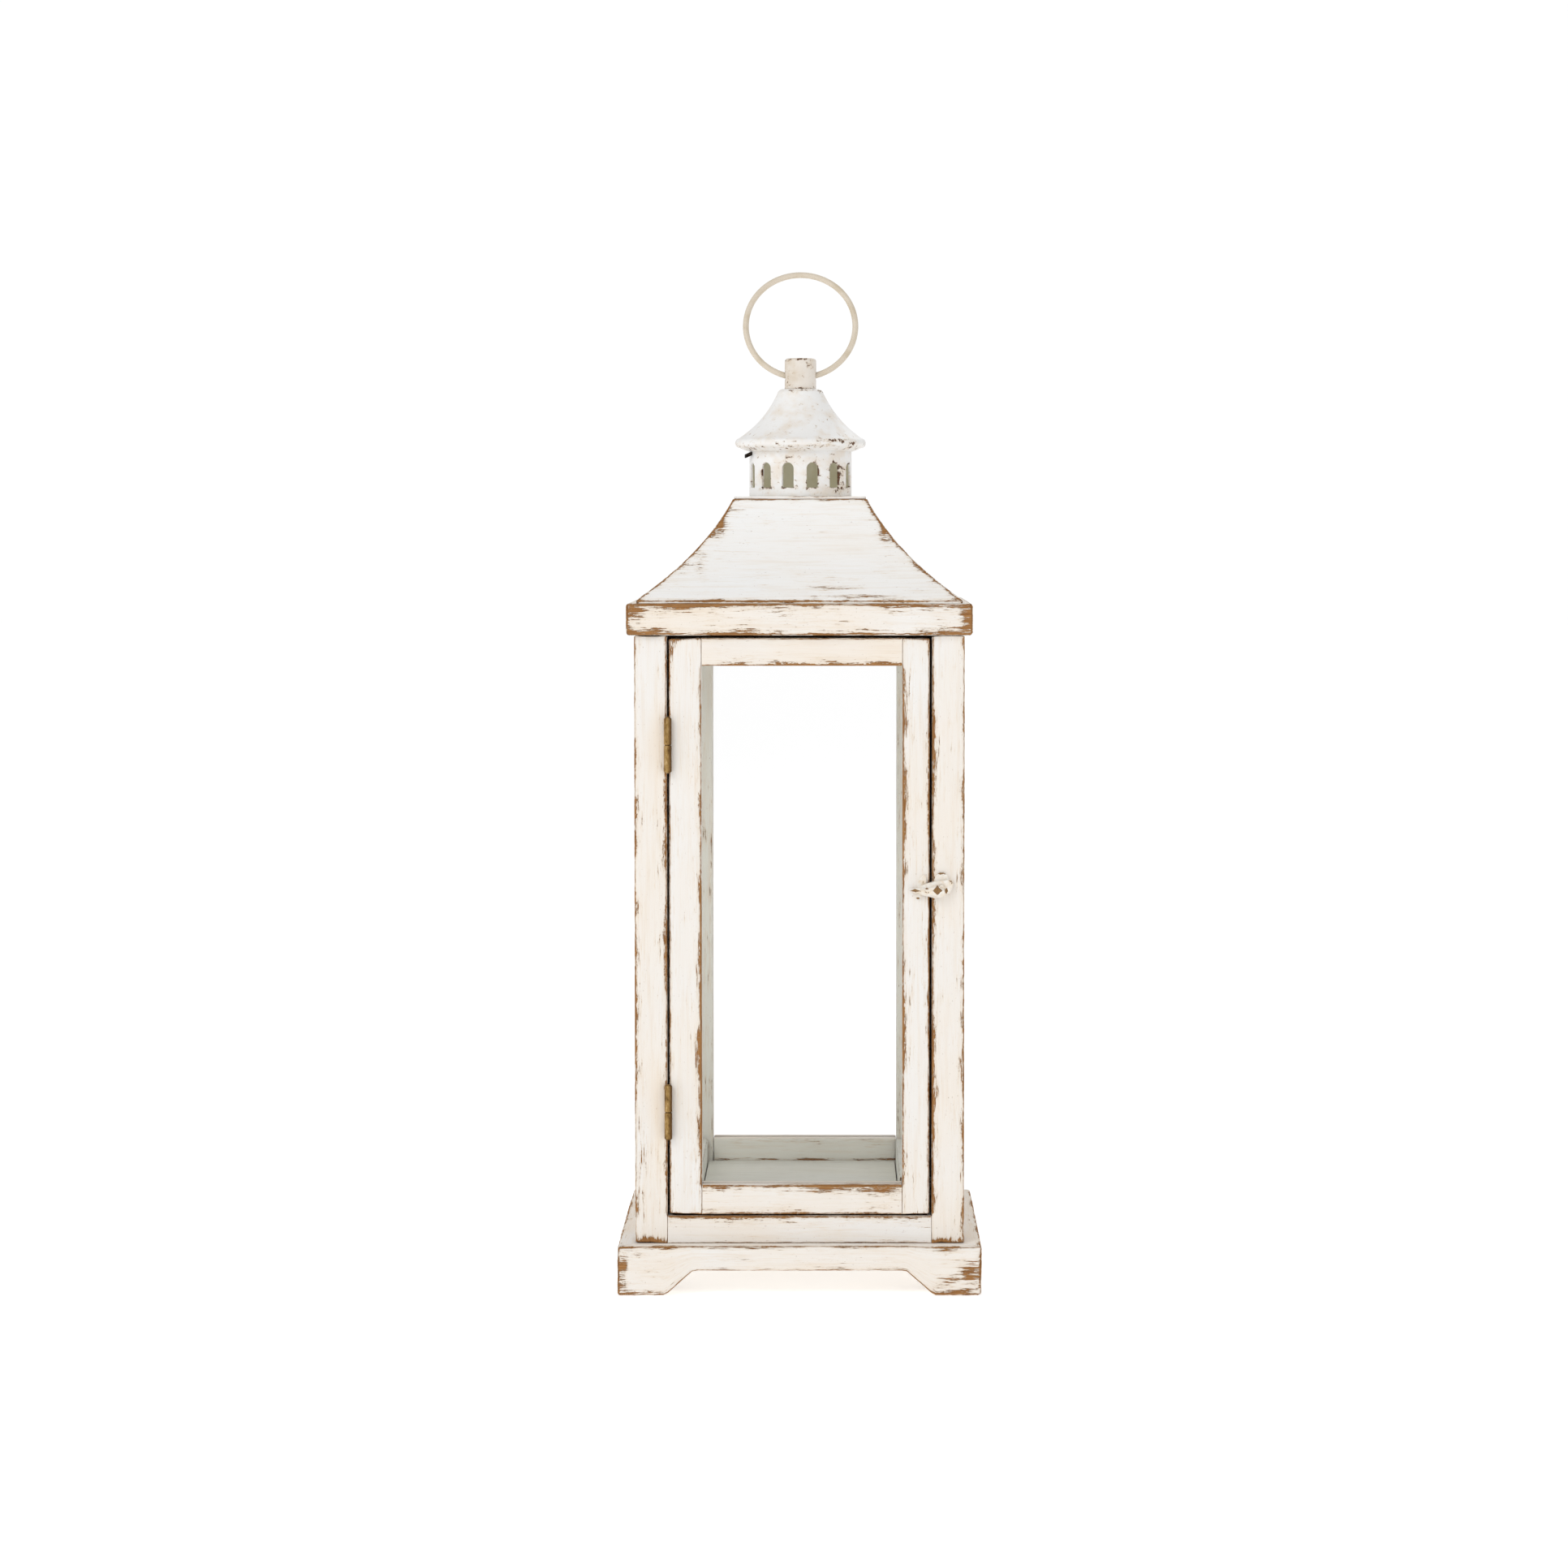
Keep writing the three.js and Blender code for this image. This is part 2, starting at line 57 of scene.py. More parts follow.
# ---------- material building ----------
class Tree:
    """A short way to write a node tree: each method adds one node and returns its output."""

    def __init__(self, name):
        self.material = bpy.data.materials.new(name)
        self.material.use_nodes = True
        self.nodes = self.material.node_tree.nodes
        self.links = self.material.node_tree.links
        self.nodes.clear()
        self.out = self.nodes.new("ShaderNodeOutputMaterial")

    def put(self, value, socket):
        if isinstance(value, bpy.types.NodeSocket):
            self.links.new(value, socket)
        else:
            socket.default_value = value

    def math(self, operation, a, b=0.0, c=0.0, clamp=False):
        node = self.nodes.new("ShaderNodeMath")
        node.operation = operation
        node.use_clamp = clamp
        for value, socket in zip((a, b, c), node.inputs):
            self.put(value, socket)
        return node.outputs[0]

    def attribute(self, name, vector=False):
        node = self.nodes.new("ShaderNodeAttribute")
        node.attribute_name = name
        return node.outputs["Vector" if vector else "Fac"]

    def place(self):
        return self.nodes.new("ShaderNodeTexCoord").outputs["Object"]

    def scaled(self, vector, factors):
        node = self.nodes.new("ShaderNodeVectorMath")
        node.operation = "MULTIPLY"
        self.put(vector, node.inputs[0])
        node.inputs[1].default_value = factors
        return node.outputs[0]

    def apart(self, vector):
        node = self.nodes.new("ShaderNodeSeparateXYZ")
        self.put(vector, node.inputs[0])
        return node.outputs

    def noise(self, vector, scale=1.0, detail=4.0, roughness=0.6, distortion=0.0):
        node = self.nodes.new("ShaderNodeTexNoise")
        self.put(vector, node.inputs["Vector"])
        node.inputs["Scale"].default_value = scale
        node.inputs["Detail"].default_value = detail
        node.inputs["Roughness"].default_value = roughness
        node.inputs["Distortion"].default_value = distortion
        return node.outputs["Fac"]

    def step(self, value, low, high, to_low=0.0, to_high=1.0):
        """A smooth rise from to_low to to_high while value goes from low to high."""
        node = self.nodes.new("ShaderNodeMapRange")
        node.interpolation_type = "SMOOTHSTEP"
        for given, name in (
            (value, "Value"), (low, "From Min"), (high, "From Max"),
            (to_low, "To Min"), (to_high, "To Max"),
        ):
            self.put(given, node.inputs[name])
        return node.outputs[0]

    def mix(self, factor, a, b):
        node = self.nodes.new("ShaderNodeMix")
        node.data_type = "RGBA"
        self.put(factor, node.inputs["Factor"])
        for value, socket in ((a, node.inputs["A"]), (b, node.inputs["B"])):
            self.put(value if isinstance(value, bpy.types.NodeSocket) else (*value, 1), socket)
        return node.outputs["Result"]

    def bump(self, height, distance, normal=None, strength=1.0):
        node = self.nodes.new("ShaderNodeBump")
        node.inputs["Strength"].default_value = strength
        node.inputs["Distance"].default_value = distance
        self.put(height, node.inputs["Height"])
        if normal is not None:
            self.links.new(normal, node.inputs["Normal"])
        return node.outputs[0]

    def principled(self, **inputs):
        node = self.nodes.new("ShaderNodeBsdfPrincipled")
        for name, value in inputs.items():
            socket = node.inputs[name.replace("_", " ")]
            if isinstance(value, tuple):
                value = (*value, 1)
            self.put(value, socket)
        self.links.new(node.outputs[0], self.out.inputs[0])
        return node


def srgb(code):
    """A #rrggbb colour as the linear numbers that shaders take."""
    parts = [int(code[i:i + 2], 16) / 255 for i in (1, 3, 5)]
    return tuple(p / 12.92 if p <= 0.04045 else ((p + 0.055) / 1.055) ** 2.4 for p in parts)


def painted_wood(name, paint, stain, wood, dark_wood, worn=1.0, inner=None):
    """Chalky paint over wood. It reads these attributes of the piece: grain (x along the
    grain, in metres), edge (distance to the nearest worn arris), wear (0 to 1, rubbed
    places), tone (0 cool to 1 cream), inside (1 on faces turned to the candle) and gap_shade
    (1 on faces in the gaps round the door, which get painted shade)."""
    t = Tree(name)
    grain = t.attribute("grain", vector=True)
    edge = t.math("MULTIPLY", t.attribute("edge"), 1 / MM)
    wear = t.attribute("wear")
    tone = t.attribute("tone")

    broad = t.noise(t.scaled(grain, (16, 30, 30)), detail=2.0, roughness=0.5)
    patch = t.noise(t.scaled(grain, (60, 160, 160)), detail=3.0, roughness=0.6)
    ragged = t.noise(t.scaled(grain, (430, 1500, 1500)), detail=6.0, roughness=0.75)
    streak = t.noise(t.scaled(grain, (66, 900, 900)), detail=6.0, roughness=0.76)
    brush = t.noise(t.scaled(grain, (22, 400, 400)), detail=4.0, roughness=0.65)
    fibre = t.noise(t.scaled(grain, (60, 2300, 2300)), detail=4.0, roughness=0.7)
    speck = t.noise(t.scaled(grain, (520, 1500, 1500)), detail=3.0, roughness=0.75)

    # Bare arris: its width changes along the board, and its border is torn.
    zone = t.math("MULTIPLY", t.step(patch, 0.38, 0.62), t.step(broad, 0.34, 0.60, 0.35, 1.0))
    width = t.math("MULTIPLY_ADD", zone, 1.15 * worn, 0.24)
    width = t.math("MULTIPLY_ADD", wear, 1.1, width)
    tearing = t.math("MULTIPLY_ADD", wear, 4.0, t.math("MULTIPLY_ADD", zone, 6.5, 1.8))
    torn = t.math("MULTIPLY", t.math("SUBTRACT", ragged, 0.5), tearing)
    border = t.math("SUBTRACT", t.math("SUBTRACT", width, edge), torn)
    bare_edge = t.step(border, -0.10, 0.14)

    # Rubbed streaks along the grain, more of them near an arris and on worn places.
    near = t.math("MULTIPLY", t.step(edge, 0.0, 8.0, 0.075, 0.0), worn)
    lift = t.math("MULTIPLY_ADD", wear, 0.21, near)
    rub = t.math("ADD", t.math("MULTIPLY_ADD", streak, 0.72, t.math("MULTIPLY", patch, 0.28)), lift)
    rub = t.math("MULTIPLY_ADD", t.math("SUBTRACT", ragged, 0.5), 0.14, rub)
    bare_streak = t.step(rub, 0.656, 0.676)
    bare_speck = t.step(t.math("MULTIPLY_ADD", lift, 0.35, speck), 0.695, 0.715)
    bare = t.math("MAXIMUM", bare_edge, bare_streak)
    bare = t.math("MAXIMUM", bare, t.math("MULTIPLY", bare_speck, 0.7))

    # Thin paint that the wood tints, round the bare places.
    thin = t.math("MAXIMUM", t.step(rub, 0.54, 0.68), t.step(border, -1.3, 0.1))

    cool, cream = paint
    drift = t.math("MULTIPLY", t.math("SUBTRACT", broad, 0.5), 1.6)
    body = t.mix(t.math("ADD", tone, drift, clamp=True), cool, cream)
    # Faces turned inwards take the inner colour: a greener cast that is painted shade of the lantern's
    # inside.
    if inner:
        body = t.mix(t.attribute("inside"), body, inner)
    body = t.mix(t.step(brush, 0.46, 0.72, 0.0, 0.24), body, stain)
    body = t.mix(t.step(fibre, 0.35, 0.75, 0.0, 0.10), body, stain)
    body = t.mix(t.math("MULTIPLY", thin, t.step(fibre, 0.3, 0.7, 0.30, 0.72)), body, stain)
    timber = t.mix(t.step(fibre, 0.34, 0.70), wood, dark_wood)
    timber = t.mix(t.step(streak, 0.42, 0.62, 0.0, 0.35), timber, dark_wood)
    colour = t.mix(bare, body, timber)
    # Painted shade: faces in the gaps round the door turn near-black brown, the dark of the gaps.
    gap_shade_mask = t.step(t.math("ADD", t.attribute("gap_shade"), t.math("SUBTRACT", ragged, 0.5)), 0.45, 0.6)
    colour = t.mix(gap_shade_mask, colour, srgb("#3a2618"))

    strokes = t.bump(fibre, 0.05 * MM, strength=0.55)
    relief = t.bump(t.math("SUBTRACT", 1.0, bare), 0.20 * MM, normal=strokes, strength=0.8)
    t.principled(
        Base_Color=colour,
        Roughness=t.math("MULTIPLY_ADD", bare, 0.14, t.step(fibre, 0.2, 0.8, 0.60, 0.74)),
        Normal=relief,
        Specular_IOR_Level=0.3,
    )
    return t.material


def enamel(name, paint, tint, metal, chip_level=0.66, roughness=0.42, dent=0.14):
    """Satin enamel on cast metal, chipped to dark metal. It reads edge and wear."""
    t = Tree(name)
    grain = t.attribute("grain", vector=True)
    wear = t.attribute("wear")
    edge = t.math("MULTIPLY", t.attribute("edge"), 1 / MM)
    cloud = t.noise(t.scaled(grain, (70, 70, 90)), detail=3.0, roughness=0.6)
    spots = t.noise(t.scaled(grain, (330, 330, 420)), detail=5.0, roughness=0.7, distortion=0.4)
    fine = t.noise(t.scaled(grain, (1300, 1300, 1500)), detail=3.0, roughness=0.6)
    near = t.step(edge, 0.0, 1.3, 0.075, 0.0)
    level = t.math("ADD", t.math("MULTIPLY_ADD", wear, 0.30, spots), near)
    level = t.math("MULTIPLY_ADD", t.math("SUBTRACT", fine, 0.5), 0.10, level)
    level = t.math("MULTIPLY_ADD", t.math("SUBTRACT", cloud, 0.5), 0.14, level)
    chip = t.step(level, chip_level, chip_level + 0.018)
    halo = t.step(level, chip_level - 0.10, chip_level + 0.01)
    body = t.mix(t.step(cloud, 0.42, 0.70, 0.0, 0.6), paint, tint)
    body = t.mix(t.step(wear, 0.05, 0.8, 0.0, 0.55), body, tint)
    body = t.mix(t.math("MULTIPLY", halo, 0.45), body, srgb("#cbb08d"))
    bare = t.mix(t.step(fine, 0.35, 0.65), metal, srgb("#70482a"))
    dents = t.bump(cloud, dent * MM, strength=0.35)
    relief = t.bump(t.math("SUBTRACT", 1.0, chip), 0.16 * MM, normal=dents, strength=0.8)
    t.principled(
        Base_Color=t.mix(chip, body, bare),
        Roughness=t.math(
            "MULTIPLY_ADD", chip, 0.22, t.step(fine, 0.2, 0.8, roughness - 0.05, roughness + 0.08),
        ),
        Normal=relief,
        Specular_IOR_Level=0.5,
    )
    return t.material


def aged_metal(name, bright, middle, dark, roughness, shade_band=None):
    """Bare metal with patches of tarnish; shade_band is where, along X in mm, painted shade darkens it."""
    t = Tree(name)
    place = t.place()
    cloud = t.noise(t.scaled(place, (420, 420, 170)), detail=5.0, roughness=0.7)
    fine = t.noise(t.scaled(place, (2600, 2600, 2000)), detail=3.0)
    colour = t.mix(t.step(cloud, 0.30, 0.54), dark, middle)
    colour = t.mix(t.step(cloud, 0.50, 0.68), colour, bright)
    colour = t.mix(t.step(fine, 0.5, 0.8, 0.0, 0.35), colour, dark)
    # Painted shade: darker past the given X, on the side turned from the light.
    if shade_band:
        across = t.math("MULTIPLY", t.apart(place)[0], 1 / MM)
        shade_mask = t.step(t.math("ADD", across, cloud), shade_band[0] + 0.5, shade_band[1] + 0.5, 0.0, 0.85)
        colour = t.mix(shade_mask, colour, dark)
    t.principled(
        Base_Color=colour, Metallic=0.9,
        Roughness=t.step(cloud, 0.3, 0.7, roughness + 0.16, roughness - 0.04),
        Normal=t.bump(fine, 0.06 * MM, strength=0.6),
    )
    return t.material


def window_glass():
    """Thin clear float glass: light passes straight through, with a faint mirror on it."""
    t = Tree("window_glass")
    ripple = t.noise(t.scaled(t.place(), (11, 11, 7)), detail=2.0)
    fresnel = t.nodes.new("ShaderNodeFresnel")
    fresnel.inputs["IOR"].default_value = 1.45
    clear = t.nodes.new("ShaderNodeBsdfTransparent")
    t.put(t.mix(ripple, srgb("#ffffff"), srgb("#fefefe")), clear.inputs["Color"])
    gloss = t.nodes.new("ShaderNodeBsdfGlossy")
    gloss.inputs["Roughness"].default_value = 0.03
    t.links.new(t.bump(ripple, 0.2 * MM, strength=0.15), gloss.inputs["Normal"])
    blend = t.nodes.new("ShaderNodeMixShader")
    t.links.new(t.math("MULTIPLY", fresnel.outputs[0], 0.35), blend.inputs[0])
    t.links.new(clear.outputs[0], blend.inputs[1])
    t.links.new(gloss.outputs[0], blend.inputs[2])
    t.links.new(blend.outputs[0], t.out.inputs[0])
    return t.material


WOOD, DARK_WOOD = srgb("#b3834f"), srgb("#7c512a")
STAIN = srgb("#dfcaae")
# The white paint of the walls. Its inner colour, for faces turned inwards, is a greener copy that stands
# for the inside's shade: painted shade.
PAINTED = painted_wood(
    "white_paint_on_wood", (srgb("#eeece9"), srgb("#efe4d6")), STAIN, WOOD, DARK_WOOD,
    inner=srgb("#f1f0e7"),
)
# The roof and the walls take lighter and darker copies of one white paint: painted light on the upturned
# roof.
ROOF_PAINT_PAINTED_LIGHT = painted_wood(
    "white_paint_on_roof", (srgb("#f5f5f4"), srgb("#f6f1ea")), STAIN, WOOD, DARK_WOOD, worn=0.9,
)
# A greyer, greener copy of the white paint, with darker worn wood, for the boards inside the lantern:
# painted shade.
INSIDE_PAINT_SHADED = painted_wood(
    "inside_paint_with_painted_shade", (srgb("#e4e5de"), srgb("#e6e5d9")), srgb("#b5ae9c"), srgb("#8a7357"),
    DARK_WOOD, worn=0.15,
)
ENAMEL = enamel("white_enamel", srgb("#f0efed"), srgb("#e3d5c3"), srgb("#3c2717"), chip_level=0.675)
NECK_ENAMEL = enamel("neck_enamel", srgb("#e4dcd2"), srgb("#cdbda6"), srgb("#4f351f"))
RING_ENAMEL = enamel(
    "cream_enamel", srgb("#d6cab8"), srgb("#c2b296"), srgb("#7c6242"), chip_level=0.86, dent=0.02,
)
VENT_INSIDE = enamel("collar_inside", srgb("#f0edd3"), srgb("#ded7b2"), srgb("#4a3a26"), chip_level=0.75)
# The hinges' brass, with painted shade on their door side past X = -68.5 mm.
BRASS = aged_metal(
    "antique_brass", srgb("#cdb080"), srgb("#a5844f"), srgb("#5c4022"), 0.34, shade_band=(-68.5, -67.0),
)
DARK_STEEL = aged_metal("dark_steel", srgb("#4a3d33"), srgb("#2c231c"), srgb("#15100c"), 0.5)
GLASS = window_glass()
MATERIAL_OF_SLOT = {
    "white_paint": PAINTED, "roof_paint": ROOF_PAINT_PAINTED_LIGHT, "inner_paint": INSIDE_PAINT_SHADED,
    "painted_metal": ENAMEL, "ring_paint": RING_ENAMEL, "brass": BRASS,
    "dark_steel": DARK_STEEL, "glass": GLASS,
}


# ---------- mesh building ----------
def seeded(name):
    """A steady number from 0 to 1 for a name."""
    return (sum((i + 1) * ord(c) for i, c in enumerate(name)) * 0.6180339) % 1.0


def corners(node):
    """The lowest and the highest corner of a CAD node's box, as arrays."""
    low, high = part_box(node)
    return np.array(low), np.array(high)


def face_outwards(mesh):
    made = bmesh.new()
    made.from_mesh(mesh)
    bmesh.ops.recalc_face_normals(made, faces=made.faces)
    made.to_mesh(mesh)
    made.free()


def finish_piece(name, points, faces, nodes, attributes, material=None):
    """Makes the object, gives it its attributes and finish, and lets it stand for its nodes."""
    mesh = bpy.data.meshes.new(name)
    mesh.from_pydata([tuple(p) for p in points], [], faces)
    for key, values in attributes.items():
        kind, field = ("FLOAT_VECTOR", "vector") if key == "grain" else ("FLOAT", "value")
        layer = mesh.attributes.new(key, kind, "POINT")
        layer.data.foreach_set(field, np.ascontiguousarray(values, np.float32).ravel())
    face_outwards(mesh)
    for polygon in mesh.polygons:
        polygon.use_smooth = True
    piece = bpy.data.objects.new(name, mesh)
    bpy.context.scene.collection.objects.link(piece)
    mesh.materials.append(material or MATERIAL_OF_SLOT[SLOT_OF[nodes[0]]])
    weighted = piece.modifiers.new("even_normals", "WEIGHTED_NORMAL")
    weighted.mode = "FACE_AREA"
    weighted.keep_sharp = False
    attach(piece, BODY_OF[nodes[0]])
    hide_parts(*nodes)
    return piece


def wood_attributes(grain, edge, wear=0.0, tone=0.5, inside=0.0, gap_shade=0.0):
    """What painted_wood reads, for each point."""
    values = {"edge": edge, "wear": wear, "tone": tone, "inside": inside, "gap_shade": gap_shade}
    return {"grain": grain, **{key: np.broadcast_to(value, len(edge)) for key, value in values.items()}}


def ring_faces(rings, around, ends="capped"):
    """Quads between closed rings of points. The first and last ring are capped, open, or joined
    to each other."""
    faces = []
    for i in range(rings if ends == "joined" else rings - 1):
        a, b = i * around, (i + 1) % rings * around
        for j in range(around):
            k = (j + 1) % around
            faces.append((a + j, a + k, b + k, b + j))
    if ends == "capped":
        faces.append(tuple(range(around - 1, -1, -1)))
        faces.append(tuple((rings - 1) * around + j for j in range(around)))
    return faces


def spaced(start, end, radius, step):
    """Places along a line, close together inside the rounded stretch at both ends."""
    soft = [start, start + 0.41 * radius, start + radius]
    count = max(2, round((end - start - 2 * radius) / step) + 1)
    middle = np.linspace(start + radius, end - radius, count)[1:-1]
    return [*soft, *middle, end - radius, end - 0.41 * radius, end]


def chip_noise(points, seed, scale=170.0):
    """From 0 to 1 at each point: mostly low, with short peaks."""
    shift = Vector((seed * 37.0, seed * 11.0, seed * 5.0))
    values = [noise.fractal(Vector(p) * scale + shift, 0.7, 2.1, 4) for p in points]
    return np.clip(np.array(values) * 1.6 + 0.25, 0, 1)


def rounded(points, low, high, radius, chips=0.0, seed=0.0):
    """Points on a box's surface, moved so that its arrises are round and a little chipped.
    radius is one number, or one for each point."""
    radius = np.broadcast_to(radius, len(points))
    inner = np.clip(points, low + radius[:, None], high - radius[:, None])
    away = points - inner
    on_arris = (np.abs(away) > 1e-9).sum(-1) >= 2
    on_skin = np.abs(away).max(-1) >= radius - 1e-9
    size = np.linalg.norm(away, axis=-1)
    moving = on_arris & on_skin
    result = points.copy()
    unit = away[moving] / size[moving][:, None]
    depth = radius[moving]
    if np.any(chips):
        depth = depth - np.broadcast_to(chips, len(points))[moving] * chip_noise(points[moving], seed)
    result[moving] = inner[moving] + unit * depth[:, None]
    return result


def spots_on(points, spots):
    """Rubbed places: each spot is (centre, reach along x, y, z, strength)."""
    value = np.zeros(len(points))
    for centre, reach, strength in spots:
        off = (points - np.array(centre)) / np.array(reach)
        value = np.maximum(value, strength * np.exp(-(off ** 2).sum(1)))
    return value


def spots_in_mm(points, spots):
    return spots_on(points, [(np.array(c) * MM, np.array(r) * MM, s) for c, r, s in spots])


def box_outline(low, high, radius, step, notch=None):
    """A rectangle's outline in two axes, with its arrises' points and an optional notch:
    (side, from, to, depth), where side 0 is bottom, 1 right, 2 top, 3 left."""
    (a0, b0), (a1, b1) = low, high
    corners = [(a0, b0), (a1, b0), (a1, b1), (a0, b1)]
    points = []
    for side in range(4):
        start, end = np.array(corners[side]), np.array(corners[(side + 1) % 4])
        length = np.linalg.norm(end - start)
        along = (end - start) / length
        inward = np.array([-along[1], along[0]])
        places = spaced(0, length, radius, step)[:-1]
        if notch and notch[0] == side:
            g0, g1, depth = notch[1:]
            g0, g1 = sorted((abs(g0 - start @ abs(along)), abs(g1 - start @ abs(along))))
            places = [p for p in places if p < g0 - 0.4 * MM or p > g1 + 0.4 * MM]
            before = [p for p in places if p < g0]
            after = [p for p in places if p > g1]
            line = [start + along * p for p in before]
            line += [start + along * g0, start + along * g0 + inward * depth]
            line += [start + along * g1 + inward * depth, start + along * g1]
            line += [start + along * p for p in after]
            points += line
        else:
            points += [start + along * p for p in places]
    return np.array(points)


def notch_for(node, axes, low, high, pane):
    """Where a pane sits in a board: the notch for box_outline, or None."""
    if pane is None:
        return None
    glass_low, glass_high = corners(pane)
    play, deep = 0.3 * MM, 0.4 * MM
    thin = int(np.argmin(glass_high - glass_low))
    if thin not in axes:
        return None
    other = axes[1] if axes[0] == thin else axes[0]
    g0, g1 = glass_low[thin] - play, glass_high[thin] + play
    at_low = glass_low[other] > low[other]
    depth = (high[other] - glass_low[other] if at_low else glass_high[other] - low[other]) + deep
    if other == axes[0]:
        return (1 if at_low else 3, g0, g1, depth)
    return (2 if at_low else 0, g0, g1, depth)


FAR = 1.0  # metres from any worn arris: no wear
UNWORN = 2.2 * MM
JOINT_SOFT = 0.2 * MM


def grain_shift(seed):
    """Each board takes its grain from another place in the noise."""
    return np.array([seed * 3.1, seed * 1.7, seed * 2.3])


def board(
    node, along, radius=1.0, arrises=None, spots=(), tone=0.5, pane=None, inside=None,
    chips=0.35, step=2.5, gap_shade=(), free=None, rows=4.0, joints=(), stains=(),
):
    """A straight board in a CAD node's box, with worn, rounded arrises.

    along is the grain's axis. arrises gives the wear of the arrises that bound each face,
    such as {"x-": 0}, where 1 is normal and 0 is none. inside names the face turned inwards,
    and gap_shade the faces in the gaps round the door, which get painted shade. free is
    (face, from, to): past from and to, along the board, that face meets another board and its
    arris isn't worn. The faces in joints meet other boards everywhere. spots and stains are
    given in shares of the box, with reach in millimetres; stains are cream-coloured.
    """
    low, high = corners(node)
    radius *= MM
    axes = [a for a in (X, Y, Z) if a != along]
    section = box_outline(low[axes], high[axes], radius, rows * MM, notch_for(node, axes, low, high, pane))
    stations = np.array(spaced(low[along], high[along], radius, step * MM))
    points = np.zeros((len(stations), len(section), 3))
    points[:, :, along] = stations[:, None]
    points[:, :, axes[0]] = section[None, :, 0]
    points[:, :, axes[1]] = section[None, :, 1]
    points = points.reshape(-1, 3)
    seed = seeded(node)

    arrises = arrises or {}
    reach = []
    for axis, letter in enumerate("xyz"):
        for sign, plane in (("-", low[axis]), ("+", high[axis])):
            strength = arrises.get(letter + sign, 1.0)
            distance = np.abs(points[:, axis] - plane)
            if strength and free and free[0] == letter + sign:
                place = points[:, along]
                strength = np.where((place > free[1]) & (place < free[2]), strength, 0.12)
            reach.append(distance / strength if np.any(strength) else np.full(len(points), FAR))
    reach = np.sort(np.array(reach), axis=0)
    edge = np.where(reach[0] < 1e-7, reach[1], reach[0])

    for end, sign in (("-", 0), ("+", -1)):
        # An end that meets another board is painted, not worn.
        if arrises.get("xyz"[along] + end, 1.0) == 0:
            edge[np.abs(points[:, along] - stations[sign]) < 1e-6] = 3 * MM

    def spread(spots):
        placed = [
            (low + np.array(share) * (high - low), np.array(extent) * MM, strength)
            for share, extent, strength in spots
        ]
        return spots_on(points, placed)

    facing = np.zeros(len(points))
    if inside:
        axis = "xyz".index(inside[0])
        plane = low[axis] if inside[1] == "-" else high[axis]
        facing = (np.abs(points[:, axis] - plane) < radius * 0.9).astype(float)
        edge = np.where(facing > 0.5, np.maximum(edge, UNWORN), edge)

    def distance_to(face):
        axis = "xyz".index(face[0])
        return np.abs(points[:, axis] - (low[axis] if face[1] == "-" else high[axis]))

    # Faces in the gaps round the door, marked for painted shade.
    bare = np.zeros(len(points))
    for face in gap_shade:
        others = np.minimum.reduce([distance_to(a + b) for a in "xyz" for b in "-+" if a != face[0]])
        middle = (distance_to(face) < radius * 0.3) & (others > radius * 1.2)
        bare = np.maximum(bare, middle.astype(float))
    soft = np.full(len(points), radius)
    for face in joints:
        soft[distance_to(face) < radius * 1.1] = JOINT_SOFT
    if free:
        place = points[:, along]
        joined = (place < free[1]) | (place > free[2])
        soft[(distance_to(free[0]) < radius * 1.1) & joined] = JOINT_SOFT
    attributes = wood_attributes(
        points[:, [along, *axes]] + grain_shift(seed), edge,
        spread(spots), tone + spread(stains), facing, bare,
    )
    moved = rounded(points, low, high, soft, np.where(soft < radius, 0.05, chips) * MM, seed)
    faces = ring_faces(len(stations), len(section))
    return finish_piece(node + "_wood", moved, faces, [node], attributes)


QUARTER_TURNS = {"front": 0, "right": 1, "back": 2, "left": 3}


def turned(points, side):
    """Points of a front-side piece, turned to the side that it belongs to."""
    result = points
    for _ in range(QUARTER_TURNS[side]):
        result = np.stack([-result[..., Y], result[..., X], result[..., Z]], axis=-1)
    return result


